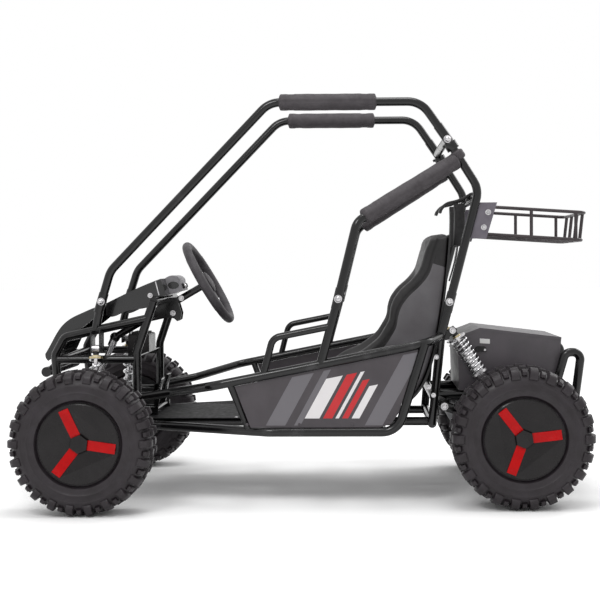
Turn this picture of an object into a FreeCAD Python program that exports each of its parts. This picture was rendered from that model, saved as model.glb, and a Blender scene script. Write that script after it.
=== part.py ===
"""Off-road kart with a tubular cage, one seat, four knobbly tyres and a rear cargo basket.

Frame: +X forward, +Y to the driver's left, +Z up, origin on the ground in the middle of the kart.
All sizes are in millimetres.
"""
import FreeCAD, Part
import math
import os
from types import SimpleNamespace

from FreeCAD import Placement, Rotation, Vector

doc = FreeCAD.newDocument("off_road_kart")
sheet = doc.addObject("Spreadsheet::Sheet", "sizes")

# Driving dimensions, by group: each becomes one cell of the sheet, with its alias.
WHEELS = {
    "wheelbase": 1240, "front_axle_x": 626, "tyre_dia": 406, "rim_dia": 203, "front_wheel_y": 428,
    "front_tyre_width": 145, "rear_wheel_y": 328, "rear_tyre_width": 180, "tread_depth": 9,
    "lug_count": 22, "front_lug_length": 24, "rear_lug_length": 28, "rim_wall": 4, "bead_width": 9,
    "rim_lip": 8, "hub_radius": 27, "axle_fit": 0.05, "bead_drop": 8, "seat_gap": 0.3,
    "cover_dia": 226, "cover_dish": 16, "cover_wall": 3, "cover_facet": 64, "cover_edge": 7,
    "blade_width": 28, "blade_count": 3, "blade_rise": 4, "blade_root": 24, "cap_flats": 46,
    "front_twist": 53, "rear_twist": 68, "chain_gap": 0.4,
}
TUBES = {
    "frame_tube": 26, "bar_tube": 24, "cage_tube": 25.4, "grab_tube": 20, "basket_tube": 10, "sleeve_wall": 1.6,
    "sleeve_length": 60, "pad_dia": 50, "pad_gap": 0.3, "ear_wall": 4, "ear_offset": 13,
}
SIDE_FRAME = {
    "side_y": 392, "rail_z": 223, "top_front_x": 262, "top_front_z": 355, "top_rear_z": 473,
    "neck_x": 400, "neck_y": 246, "neck_z": 322, "sill_front_x": 110, "sill_top_z": 471,
    "strut_top_x": 218, "strut_foot_x": 164, "side_bend": 60, "foot_z": 432, "bar_joint_z": 600,
    "grab_foot_x": 122, "grab_top_x": 94, "grab_top_z": 490, "grab_end_z": 522, "grab_bend": 32,
    "panel_wall": 3, "panel_inset": 0.3, "sill_tuck": 7,
}
FRONT_FRAME = {
    "front_y": 212, "upright_x": 513, "upright_knee_z": 440, "upright_top_x": 462,
    "upright_top_z": 590, "brow_rear_x": 478, "brow_rear_z": 538, "brow_front_x": 728,
    "brow_front_z": 484, "nose_x": 757, "nose_z": 430, "nose_foot_x": 740, "mid_tube_z": 417,
    "front_bend": 48, "inner_rail_y": 150, "bumper_x": 790, "bumper_z": 378, "bumper_half": 190,
    "bumper_dia": 30, "bumper_arm_y": 150, "stub_x": 636, "pivot_rail_y": 106, "pivot_rail_z": 210,
    "bracket_gap": 18, "controller_half": 60, "controller_front_x": 568, "controller_rear_x": 502,
    "controller_height": 52,
}
CAGE = {
    "cage_y": 235, "cage_foot_y": 218, "cage_foot_x": 617, "cage_foot_z": 586, "knee_x": 588,
    "knee_z": 680, "brow_x": 112, "cage_top_z": 1175, "cage_joint_z": 1063, "cage_bend": 75,
    "hoop_y": 243, "hoop_back_z": 916, "hoop_foot_z": 585, "hoop_bend": 70, "hoop_cross_z": 893,
    "pad_front_x": 84, "pad_root": 13.1, "pad_tip": 24, "side_bar_y": 385, "side_bar_z": 817,
    "side_bar_root_z": 1006, "side_bar_bend": 45,
}
REAR = {
    "stub_foot_z": 486, "rear_y": 250, "box_rail_y": 150, "box_rail_z": 304, "shock_y": 205,
    "shock_top_z": 500, "shock_foot_z": 353, "pivot_z": 275, "swing_tube": 30, "axle_radius": 15,
    "box_half": 165, "box_front_z": 478, "box_peak_z": 505, "box_rear_z": 476,
    "bumper_over_z": 432, "bumper_low_z": 290, "bumper_y": 182, "bumper_bend": 22, "rack_y": 187,
    "rack_top_z": 866, "rack_depth": 82, "rack_fall": 18, "rack_corner": 24, "motor_radius": 45,
    "motor_length": 130, "hanger_y": 166, "carrier_radius": 34, "sprocket_radius": 62,
    "sprocket_y": -140, "disc_radius": 72, "disc_y": 130, "disc_wall": 4, "rack_plate": 4,
    "rack_plate_top": 877, "rack_plate_low": 771, "rack_plate_depth": 46, "rack_slats": 4,
    "pinion_radius": 16, "chain_height": 9, "caliper_half": 14, "caliper_gap": 1,
}
# Places along the kart that follow the rear axle: X measured forward from it.
STATIONS = {
    "top_rear_x": 276, "sill_rear_x": 356, "sill_top_x": 279, "foot_x": 573, "bar_joint_x": 522.5,
    "seat_cross_x": 554, "heel_cross_x": 401, "cage_rear_x": 280, "cage_joint_x": 202.5,
    "hoop_back_x": 111, "hoop_foot_x": 198, "pad_rear_x": 410, "side_bar_x": 469,
    "stub_foot_x": 224, "rear_cross_x": 248, "box_rail_end_x": -114, "top_cross_x": 210,
    "shock_top_x": 187, "shock_foot_x": 93, "pivot_x": 212, "box_front_x": 169, "box_peak_x": 101,
    "box_rear_x": -142, "box_heel_x": -130, "bumper_over_x": -198, "bumper_low_x": -179,
    "bumper_rise_x": -151, "rack_front_x": 66, "rack_end_x": -210, "motor_x": 150,
    "swing_cross_x": 90, "rack_post_x": -50,
}
SUSPENSION = {
    "kingpin_y": 330, "kingpin_radius": 11, "kingpin_half": 44, "joint_gap": 0.5, "eye_height": 20,
    "spindle_radius": 10, "spindle_end_y": 466, "arm_wall": 9, "eye_radius": 13, "hinge_over": 14,
    "shock_lift": 24, "tie_eye_half": 8, "upper_pivot_y": 185, "upper_pivot_z": 290,
    "lower_pivot_y": 132, "lower_pivot_z": 186, "pivot_half": 85, "wishbone_tube": 15,
    "pivot_tube": 26, "front_shock_y": 252, "front_shock_z": 452, "front_shock_foot_y": 280,
    "front_coil": 40, "front_wire": 6, "front_turns": 8, "rear_coil": 50, "rear_wire": 7,
    "rear_turns": 8,
}
STEERING = {
    "wheel_x": 323.6, "wheel_z": 642, "wheel_ring": 262, "wheel_grip": 27, "column_rake": 30,
    "column_radius": 11, "joint_x": 620, "rack_x": 704, "rack_z": 248, "rack_radius": 9,
    "rack_dia": 18, "boss_depth": 20, "rack_half": 140, "housing_radius": 19, "housing_half": 92,
    "rod_radius": 6, "coupling_radius": 16, "bearing_radius": 18, "bearing_length": 34,
}
SEAT = {
    "seat_half": 195, "seat_inner": 122, "shell_wall": 6, "soft_gap": 0.4, "seat_rail_y": 110,
    "strap_y": 95, "strap_width": 50,
}
BODYWORK = {
    "nose_half": 150, "dash_half": 140, "sheet": 3, "floor_wall": 3, "pedal_x": 478, "pedal_y": 70,
    "pedal_height": 96, "pedal_shaft": 16, "control_half": 58,
}


def fill_sheet(groups):
    """Write every size as a plain number with its alias."""
    row = 1
    for group in groups:
        for alias, number in group.items():
            sheet.set("A%d" % row, alias.replace("_", " "))
            sheet.set("B%d" % row, str(number))
            sheet.setAlias("B%d" % row, alias)
            row += 1
    doc.recompute()
    names = [alias for group in groups for alias in group]
    return SimpleNamespace(**{alias: float(sheet.get(alias)) for alias in names})


s = fill_sheet([WHEELS, TUBES, SIDE_FRAME, FRONT_FRAME, CAGE, REAR, STATIONS, SUSPENSION, STEERING,
                SEAT, BODYWORK])
NODES = []
UP = Vector(0, 0, 1)
AXLE_Z = s.tyre_dia / 2
REAR_AXLE_X = s.front_axle_x - s.wheelbase
for station in STATIONS:
    setattr(s, station, REAR_AXLE_X + getattr(s, station))


def bind(thing, prop, expression):
    """Tie one property to the sheet; names of cells stand alone in the expression."""
    thing.setExpression(prop, expression)


def node(thing, name):
    """Name a finished sub-part and list it for export."""
    thing.Label = name
    NODES.append((name, thing))
    return thing


def bent_path(name, points, bend):
    """Straight runs joined by tangent arcs, as a tube bender leaves them."""
    edges = []
    start = points[0]
    for index in range(1, len(points) - 1):
        corner = points[index]
        back = (points[index - 1] - corner).normalize()
        ahead = (points[index + 1] - corner).normalize()
        half = back.getAngle(ahead) / 2
        arc_start = corner + back * (bend / math.tan(half))
        arc_end = corner + ahead * (bend / math.tan(half))
        middle = corner + (back + ahead).normalize() * (bend / math.sin(half) - bend)
        edges.append(Part.LineSegment(start, arc_start).toShape())
        edges.append(Part.Arc(arc_start, middle, arc_end).toShape())
        start = arc_end
    edges.append(Part.LineSegment(start, points[-1]).toShape())
    path = doc.addObject("Part::Feature", name)
    path.Shape = Part.Wire(edges)
    return path


def tube(name, points, cell, bend=0.0):
    """A round bar whose diameter is the named cell, swept along a bent path."""
    path = bent_path(name + "_path", points, bend)
    ring = doc.addObject("Part::Circle", name + "_ring")
    bind(ring, "Radius", "sizes.%s / 2" % cell)
    ring.Placement = Placement(points[0], Rotation(UP, points[1] - points[0]))
    sweep = doc.addObject("Part::Sweep", name)
    sweep.Sections = [ring]
    sweep.Spine = (path, [])
    sweep.Solid = True
    return sweep


def rod(name, start, end, radius):
    """A straight cylinder between two points; radius is an expression on the sheet."""
    bar = doc.addObject("Part::Cylinder", name)
    bind(bar, "Radius", radius)
    bar.Height = (end - start).Length
    bar.Placement = Placement(start, Rotation(UP, end - start))
    return bar


def block(name, low, high):
    """A box between two opposite corners."""
    box = doc.addObject("Part::Box", name)
    box.Length = high.x - low.x
    box.Width = high.y - low.y
    box.Height = high.z - low.z
    box.Placement = Placement(low, Rotation())
    return box


def plate(name, outline, y_from, y_to):
    """A flat plate: an outline of (x, z) corners, from one y to another."""
    corners = [Vector(x, y_from, z) for x, z in outline]
    wire = doc.addObject("Part::Polygon", name + "_outline")
    wire.Nodes = corners
    wire.Close = True
    solid = doc.addObject("Part::Extrusion", name)
    solid.Base = wire
    solid.DirMode = "Custom"
    solid.Dir = Vector(0, 1, 0)
    solid.LengthFwd = y_to - y_from
    solid.Solid = True
    return solid


def contour(name, runs, y_from, y_to):
    """A flat-sided body in X and Z whose edge is made of straight runs (two points) and smooth curves."""
    edges = []
    for run in runs:
        points = [Vector(x, y_from, z) for x, z in run]
        if len(points) == 2:
            edges.append(Part.LineSegment(points[0], points[1]).toShape())
        else:
            curve = Part.BSplineCurve()
            curve.interpolate(points)
            edges.append(curve.toShape())
    outline = doc.addObject("Part::Feature", name + "_outline")
    outline.Shape = Part.Wire(edges)
    solid = doc.addObject("Part::Extrusion", name)
    solid.Base = outline
    solid.DirMode = "Custom"
    solid.Dir = Vector(0, 1, 0)
    solid.LengthFwd = y_to - y_from
    solid.Solid = True
    return solid


def fuse(name, pieces):
    union = doc.addObject("Part::MultiFuse", name)
    union.Shapes = pieces
    return union


def cut(name, base, tool):
    difference = doc.addObject("Part::Cut", name)
    difference.Base = base
    difference.Tool = tool
    return difference


def mirror(name, source):
    """The same piece on the other side of the kart."""
    twin = doc.addObject("Part::Mirroring", name)
    twin.Source = source
    twin.Normal = Vector(0, 1, 0)
    twin.Base = Vector(0, 0, 0)
    return twin


def pair(name, *sources):
    """One node that holds some pieces and their twins on the other side."""
    both = doc.addObject("Part::Compound", name)
    both.Links = list(sources) + [mirror("%s_twin_%d" % (name, index), source) for index, source in enumerate(sources)]
    return node(both, name)


def left_and_right(name, source):
    """Two nodes: the left piece and its mirrored twin."""
    node(source, name + "_left")
    node(mirror(name + "_twin", source), name + "_right")


def both_sides(name, points, cell, bend=0.0):
    """The same tube on both sides, for use inside one welded piece."""
    near = tube(name, points, cell, bend)
    return [near, mirror(name + "_far", near)]


def sleeve(name, joint, direction):
    """The socket that joins two lengths of cage tube at a bolted joint."""
    run = direction.normalize() * (s.sleeve_length / 2)
    return rod(name, joint - run, joint + run, "sizes.cage_tube / 2 + sizes.sleeve_wall")


def revolved(name, outline, placement):
    """A PartDesign body: an (r, z) outline turned about its Z axis and then placed."""
    body = doc.addObject("PartDesign::Body", name)
    sketch = body.newObject("Sketcher::SketchObject", name + "_section")
    sketch.AttachmentSupport = [(origin_plane(body, "XZ_Plane"), "")]
    sketch.MapMode = "FlatFace"
    draw(sketch, outline)
    turned = body.newObject("PartDesign::Revolution", name + "_turned")
    turned.Profile = sketch
    turned.ReferenceAxis = (sketch, ["V_Axis"])
    turned.Angle = 360
    body.Tip = turned
    body.Placement = placement
    return body


def origin_plane(body, role):
    return [f for f in body.Origin.OriginFeatures if f.Role == role][0]


def draw(sketch, outline):
    """A closed outline of straight edges."""
    for index, (x, y) in enumerate(outline):
        after_x, after_y = outline[(index + 1) % len(outline)]
        sketch.addGeometry(Part.LineSegment(Vector(x, y, 0), Vector(after_x, after_y, 0)), False)


def wheel_place(x, y, outward):
    """Wheel pieces are drawn with +Z outward; this lays that axis along the axle."""
    turn = -90 if outward > 0 else 90
    return Placement(Vector(x, y, AXLE_Z), Rotation(Vector(1, 0, 0), turn))


def tyre(name, width, lug_length, placement):
    """Knobbly tyre: a turned casing with two staggered rows of lugs that wrap the shoulder."""
    crown = s.tyre_dia / 2 - s.tread_depth
    bead = s.rim_dia / 2 + s.rim_wall + s.seat_gap
    lip = bead + s.rim_lip
    half = width / 2
    flank = half - s.tread_depth
    bead_z = bead_half(width) - s.seat_gap
    upper = [(bead, bead_z), (lip, bead_z), (lip + 4, bead_z + 6), (lip + 16, flank + 3),
             (crown - 38, half - 4), (crown - 16, flank), (crown - 3, half * 0.55)]
    lower = [(r, -z) for r, z in upper]
    outline = upper + [(crown, 0)] + lower[::-1]
    body = revolved(name, outline, Placement())
    pitch = 360.0 / s.lug_count
    for side in (1, -1):
        sketch = body.newObject("Sketcher::SketchObject", "%s_lug_%d" % (name, side + 1))
        sketch.AttachmentSupport = [(origin_plane(body, "XZ_Plane"), "")]
        sketch.MapMode = "FlatFace"
        stagger = 0 if side > 0 else pitch / 2
        sketch.AttachmentOffset = Placement(Vector(), Rotation(Vector(0, 1, 0), stagger))
        top = s.tyre_dia / 2
        draw(sketch, [(crown - 12, side * 5), (top, side * 5), (top, side * half * 0.62),
                      (top - 9, side * (half - 6)), (top - 30, side * half),
                      (top - 40, side * (half - 3)), (crown - 34, side * (flank - 4))])
        lug = body.newObject("PartDesign::Pad", "%s_lug_pad_%d" % (name, side + 1))
        lug.Profile = sketch
        lug.SideType = "Symmetric"
        lug.Length = lug_length
        row = body.newObject("PartDesign::PolarPattern", "%s_row_%d" % (name, side + 1))
        row.Originals = [lug]
        row.Axis = (sketch, ["V_Axis"])
        row.Angle = 360
        row.Occurrences = int(s.lug_count)
        body.Tip = row
    body.Placement = placement
    return body


def bead_half(width):
    """Half the distance between the two bead seats of a wheel."""
    return width / 2 - s.bead_width - s.bead_drop


def rim(name, width, placement, bore):
    """Stamped wheel: barrel with bead seats and lips, and a dished disc with the hub."""
    outer = s.rim_dia / 2 + s.rim_wall
    inner = s.rim_dia / 2
    lip = outer + s.rim_lip
    half = bead_half(width)
    disc = 12.0
    hub = 24.0
    outline = [(bore, disc - hub), (s.hub_radius, disc - hub), (s.hub_radius, disc - s.rim_wall),
               (inner, disc - s.rim_wall), (inner, -half), (inner, -half - s.rim_wall),
               (lip, -half - s.rim_wall), (lip, -half), (outer, -half), (outer, half),
               (lip, half), (lip, half + s.rim_wall), (inner, half + s.rim_wall), (inner, disc),
               (s.hub_radius, disc), (s.hub_radius, disc + 8), (bore, disc + 8)]
    return revolved(name, outline, placement)


def cover(name, width, placement, twist):
    """Plastic wheel cover: three flat facets that fall to a hex cap; and the three blades set on it."""
    rear = bead_half(width) + s.rim_wall + s.seat_gap
    radius = s.cover_dia / 2
    edge = rear + s.cover_edge
    floor = edge - s.cover_dish
    outline = [(0, floor - s.cover_wall), (s.blade_root, floor - s.cover_wall),
               (radius - 6, edge - 2 * s.cover_wall), (radius - 6, rear), (radius, rear),
               (radius, edge - 2), (radius - 3, edge), (0, edge)]
    disc = revolved(name + "_disc", outline, Placement())
    facets = doc.addObject("Part::Loft", name + "_facets")
    rings = []
    for height, inradius in ((floor, 9.0), (edge, s.cover_facet), (edge + 10, s.cover_facet + 10 * facet_slope())):
        ring = doc.addObject("Part::RegularPolygon", "%s_ring_%d" % (name, len(rings)))
        ring.Polygon = 3
        ring.Circumradius = inradius * 2
        ring.Placement = Placement(Vector(0, 0, height), Rotation(UP, twist))
        rings.append(ring)
    facets.Sections = rings
    facets.Solid = True
    facets.Ruled = True
    dish = cut(name + "_dish", disc, facets)
    blades = []
    low = -s.blade_width / 2
    root = s.cap_flats / 2 + s.seat_gap
    for index in range(int(s.blade_count)):
        side = doc.addObject("Part::Polygon", "%s_blade_side_%d" % (name, index))
        side.Nodes = [Vector(root, low, floor - 1),
                      Vector(radius - 9, low, edge - 5), Vector(radius - 9, low, edge + 1),
                      Vector(radius - 24, low, edge), Vector(root, low, floor + s.blade_rise + 1)]
        side.Close = True
        blade = doc.addObject("Part::Extrusion", "%s_blade_%d" % (name, index))
        blade.Base = side
        blade.DirMode = "Custom"
        blade.Dir = Vector(0, 1, 0)
        bind(blade, "LengthFwd", "sizes.blade_width")
        blade.Solid = True
        blade.Placement = Placement(Vector(), Rotation(UP, twist + index * 360.0 / s.blade_count))
        blades.append(cut("%s_blade_set_%d" % (name, index), blade, dish))
    cap = doc.addObject("Part::Prism", name + "_cap")
    cap.Polygon = 6
    bind(cap, "Circumradius", "sizes.cap_flats / 1.732")
    cap.Height = s.cover_dish - 5
    cap.Placement = Placement(Vector(0, 0, floor - 1), Rotation(UP, twist + 30))
    whole = fuse(name, [dish, cap])
    whole.Placement = placement
    trio = doc.addObject("Part::Compound", name + "_blades")
    trio.Links = blades
    trio.Placement = placement
    return whole, trio


def facet_slope():
    """How fast the facets spread outward with height."""
    return (s.cover_facet - 9.0) / s.cover_dish


def spring(name, coil_cell, wire_cell, turns, length, placement):
    """Helical coil spring standing on its lower seat."""
    helix = doc.addObject("Part::Helix", name + "_helix")
    helix.Pitch = length / turns
    helix.Height = length
    bind(helix, "Radius", "(sizes.%s - sizes.%s) / 2" % (coil_cell, wire_cell))
    ring = doc.addObject("Part::Circle", name + "_wire")
    bind(ring, "Radius", "sizes.%s / 2" % wire_cell)
    bind(ring, "Placement.Base.x", "(sizes.%s - sizes.%s) / 2" % (coil_cell, wire_cell))
    ring.Placement.Rotation = Rotation(Vector(1, 0, 0), 90)
    coil = doc.addObject("Part::Sweep", name)
    coil.Sections = [ring]
    coil.Spine = (helix, [])
    coil.Solid = True
    coil.Frenet = True
    coil.Placement = placement
    return coil


def shock(name, foot, top, pin, coil_cell, wire_cell, turns):
    """Damper with its two eyes and spring seats, and the coil spring around it."""
    axis = top - foot
    length = axis.Length
    coil = getattr(s, coil_cell)
    wire = getattr(s, wire_cell)
    place = Placement(foot, Rotation(UP, axis))
    inner = coil / 2 - wire - 1
    low_seat = 30.0
    high_seat = length - 30
    eye = pin * (s.ear_offset - s.ear_wall / 2 - s.seat_gap)
    body = fuse(name, [
        rod(name + "_eye_low", foot - eye, foot + eye, "11"),
        rod(name + "_eye_top", top - eye, top + eye, "11"),
        rod(name + "_rod", foot, top, "6"),
        rod(name + "_can", foot + place.Rotation.multVec(Vector(0, 0, low_seat)),
            foot + place.Rotation.multVec(Vector(0, 0, length * 0.6)), "%g" % inner),
        rod(name + "_seat_low", foot + place.Rotation.multVec(Vector(0, 0, low_seat - 7)),
            foot + place.Rotation.multVec(Vector(0, 0, low_seat)), "%g" % (coil / 2)),
        rod(name + "_seat_top", foot + place.Rotation.multVec(Vector(0, 0, high_seat)),
            foot + place.Rotation.multVec(Vector(0, 0, high_seat + 7)), "%g" % (coil / 2)),
    ])
    gap = wire / 2 + 0.3
    start = foot + place.Rotation.multVec(Vector(0, 0, low_seat + gap))
    run = high_seat - low_seat - 2 * gap
    coil_spring = spring(name + "_spring", coil_cell, wire_cell, turns, run,
                         Placement(start, place.Rotation))
    return body, coil_spring


def brow_z(x):
    """Height of the brow tube's centre line at x."""
    share = (x - s.brow_rear_x) / (s.brow_front_x - s.brow_rear_x)
    return s.brow_rear_z + share * (s.brow_front_z - s.brow_rear_z)


def top_tube_z(x):
    """Height of the side frame's top tube at x."""
    share = (s.top_front_x - x) / (s.top_front_x - s.top_rear_x)
    return s.top_front_z + share * (s.top_rear_z - s.top_front_z)


def sill_y(x):
    """Half width between the sills at x: they run in towards the toe cross tube."""
    share = max(0.0, (x - s.sill_front_x) / (s.upright_x - s.sill_front_x))
    return s.side_y - share * (s.side_y - s.front_y + s.sill_tuck)


def stub_x(z):
    """The side bar's stub leans back: its x at height z."""
    share = (z - s.foot_z) / (s.bar_joint_z - s.foot_z)
    return s.foot_x + share * (s.bar_joint_x - s.foot_x)


def hoop_x(z):
    """The hoop's lower legs lean back: their x at height z."""
    share = (z - s.hoop_foot_z) / (s.hoop_back_z - s.hoop_foot_z)
    return s.hoop_foot_x + share * (s.hoop_back_x - s.hoop_foot_x)


def cage_foot():
    return Vector(s.cage_foot_x, s.cage_foot_y, s.cage_foot_z)


def cage_knee():
    return Vector(s.knee_x, s.cage_foot_y + 4, s.knee_z)


def hoop_foot():
    return Vector(s.hoop_foot_x, s.rear_y, s.hoop_foot_z)


def hoop_back():
    return Vector(s.hoop_back_x, s.hoop_y, s.hoop_back_z)


def cage_joint():
    return Vector(s.cage_joint_x, s.hoop_y, s.cage_joint_z)


def side_joint():
    return Vector(s.bar_joint_x, s.side_y, s.bar_joint_z)


def side_corner():
    return Vector(s.side_bar_x, s.side_bar_y, s.side_bar_z)


def ball_joint(side):
    """Centre of the upper (+1) or lower (-1) ball joint of the left knuckle."""
    reach = s.kingpin_half + s.joint_gap + s.eye_height / 2
    return Vector(s.front_axle_x, s.kingpin_y, AXLE_Z + side * reach)


def cross(name, x, z, half, cell="frame_tube"):
    """A straight tube from side to side."""
    return tube(name, [Vector(x, -half, z), Vector(x, half, z)], cell)


def front_frame():
    """Welded nose loops: uprights, brow tubes that run down to the toe rails, cage stubs and ears."""
    y = s.front_y
    pivot_end = s.pivot_half + s.hinge_over + s.seat_gap
    near = [
        tube("front_upright", [Vector(s.upright_x, y, s.rail_z), Vector(s.upright_x, y, s.upright_knee_z),
                               Vector(s.upright_top_x, y, s.upright_top_z)], "frame_tube", s.front_bend),
        tube("brow_tube", [Vector(s.brow_rear_x, y, s.brow_rear_z), Vector(s.brow_front_x, y, s.brow_front_z),
                           Vector(s.nose_x, y, s.nose_z), Vector(s.nose_foot_x, y, s.rail_z),
                           Vector(s.upright_x, y, s.rail_z)], "frame_tube", s.frame_tube),
        tube("cage_stub", [Vector(s.stub_x, y, brow_z(s.stub_x)), cage_foot()], "cage_tube"),
        sleeve("cage_sleeve", cage_foot(), cage_knee() - cage_foot()),
    ]
    for step in (-1, 1):
        x = s.front_axle_x + step * s.ear_offset
        low = Vector(x - s.ear_wall / 2, y - 2, s.front_shock_z - 12)
        high = Vector(x + s.ear_wall / 2, s.front_shock_y + 12, brow_z(x))
        near.append(block("shock_ear_%d" % (step + 1), low, high))
        x = s.front_axle_x + step * (pivot_end + s.ear_wall / 2)
        low = Vector(x - s.ear_wall / 2, s.upper_pivot_y - 14, s.rail_z - 4)
        high = Vector(x + s.ear_wall / 2, y + 4, s.upper_pivot_z + 14)
        near.append(block("upper_ear_%d" % (step + 1), low, high))
    return pair("front_frame", fuse("front_side", near))


def mid_rails(front):
    """Straight tubes along the nose at half height, with the strip that carries the controller."""
    top = s.mid_tube_z + s.bar_tube / 2
    whole = fuse("mid_rails_whole", [
        *both_sides("mid_tube", [Vector(s.upright_x, s.front_y, s.mid_tube_z),
                                 Vector(s.nose_x - 4, s.front_y, s.mid_tube_z)], "bar_tube"),
        block("controller_strip", Vector(s.controller_rear_x + 6, -s.front_y, top - 4),
              Vector(s.controller_front_x - 6, s.front_y, top - 1)),
    ])
    return node(cut("mid_rails", whole, front), "mid_rails")


def front_crossbars(front, rails):
    """Straight tubes between the nose loops; the top one has the column's bearing and brackets."""
    y = s.front_y
    x = s.upright_top_x
    z = s.upright_top_z
    bracket = [(x + 1, z + 4), (x - 44, z + 6), (x - 48, z - 15), (x - 56, z - 42), (x - 53, z - 63),
               (x - 43, z - 69), (x - 32, z - 60), (x - 11, z - 56), (x + 27, z - 62), (x + 27, z - 30),
               (x + 16, z - 13)]
    near = plate("column_bracket", bracket, s.bracket_gap, s.bracket_gap + s.ear_wall)
    rake = math.radians(s.column_rake)
    grip = Vector(x, 0, s.wheel_z - (x - s.wheel_x) * math.tan(rake))
    run = Vector(math.cos(rake), 0, -math.sin(rake)) * (s.bearing_length / 2)
    whole = fuse("crossbars_whole", [
        near, mirror("column_bracket_far", near),
        rod("column_bearing", grip - run, grip + run, "sizes.bearing_radius"),
        cross("cross_top", x, z, y, "bar_tube"),
        cross("cross_brow", s.brow_front_x, brow_z(s.brow_front_x) - 4, y, "bar_tube"),
        cross("cross_nose", s.nose_foot_x, s.rail_z, y, "bar_tube"),
        cross("cross_toe", s.upright_x, s.rail_z, y, "bar_tube"),
        cross("cross_mid", s.nose_x - 4, s.mid_tube_z, y, "bar_tube"),
    ])
    bore = rod("bearing_bore", grip - run * 2, grip + run * 2, "sizes.column_radius + sizes.axle_fit")
    return node(trim("front_crossbars", whole, [bore, front, rails]), "front_crossbars")


def pivot_rails(bars):
    """Low rails inside the nose with the ears of the lower wishbones and the shelf of the rack."""
    pivot_end = s.pivot_half + s.hinge_over + s.seat_gap
    pieces = both_sides("pivot_rail", [Vector(s.upright_x, s.pivot_rail_y, s.pivot_rail_z),
                                       Vector(s.nose_foot_x, s.pivot_rail_y, s.pivot_rail_z)], "frame_tube")
    for step in (-1, 1):
        x = s.front_axle_x + step * (pivot_end + s.ear_wall / 2)
        low = Vector(x - s.ear_wall / 2, s.pivot_rail_y - 4, s.lower_pivot_z - 14)
        high = Vector(x + s.ear_wall / 2, s.lower_pivot_y + 14, s.pivot_rail_z + 4)
        ear = block("lower_ear_%d" % (step + 1), low, high)
        pieces += [ear, mirror("lower_ear_far_%d" % (step + 1), ear)]
    shelf_z = s.pivot_rail_z + s.frame_tube / 2
    pieces.append(block("rack_shelf", Vector(s.rack_x - 20, -s.pivot_rail_y, shelf_z - 2),
                        Vector(s.rack_x + 20, s.pivot_rail_y, shelf_z + 2)))
    return node(cut("pivot_rails", fuse("pivot_rails_whole", pieces), bars), "pivot_rails")


def side_frame(front, bars):
    """Near side frame: top tube, sill, rear upright, strut, grab rail and side bar stub."""
    y = s.side_y
    pieces = [
        tube("side_top", [Vector(s.upright_x, s.front_y, s.neck_z - 20), Vector(s.neck_x, s.neck_y, s.neck_z),
                          Vector(s.top_front_x, y, s.top_front_z), Vector(s.top_rear_x, y, s.top_rear_z),
                          Vector(s.stub_foot_x, s.rear_y, s.stub_foot_z)], "frame_tube", s.side_bend),
        tube("side_sill", [Vector(s.sill_top_x, y, s.sill_top_z), Vector(s.sill_rear_x, y, s.rail_z),
                           Vector(s.sill_front_x, y, s.rail_z),
                           Vector(s.upright_x, s.front_y - s.sill_tuck, s.rail_z)], "frame_tube", s.side_bend),
        tube("side_strut", [Vector(s.strut_top_x, y, top_tube_z(s.strut_top_x)),
                            Vector(s.strut_foot_x, sill_y(s.strut_foot_x), s.rail_z)], "grab_tube"),
        tube("side_stub", [Vector(s.foot_x, y, top_tube_z(s.foot_x)), side_joint()], "cage_tube"),
        sleeve("side_sleeve", side_joint(), side_corner() - side_joint()),
        tube("side_grab", [Vector(s.grab_foot_x, y, top_tube_z(s.grab_foot_x)),
                           Vector(s.grab_top_x, y, s.grab_top_z),
                           Vector(stub_x(s.grab_end_z), y, s.grab_end_z)], "grab_tube", s.grab_bend),
    ]
    return trim("side_frame", fuse("side_frame_whole", pieces), [front, bars])


def trim(name, piece, others):
    """Cope a welded piece against its neighbours, so that they meet face to face."""
    for index, other in enumerate(others):
        last = index == len(others) - 1
        piece = cut(name if last else "%s_trim_%d" % (name, index), piece, other)
    return piece


def main_frame(front, bars, sides):
    """Inner rails under the floor and the cross tubes that carry floor and seat."""
    pieces = both_sides("inner_rail", [Vector(s.upright_x, s.inner_rail_y, s.rail_z),
                                       Vector(s.rear_cross_x, s.inner_rail_y, s.rail_z)], "frame_tube")
    for name, x in (("floor_cross", s.strut_foot_x), ("seat_cross", s.seat_cross_x), ("heel_cross", s.heel_cross_x)):
        pieces.append(cross(name, x, s.rail_z, sill_y(x)))
    return node(trim("main_frame", fuse("main_frame_whole", pieces), [front, bars, sides]), "main_frame")


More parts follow.
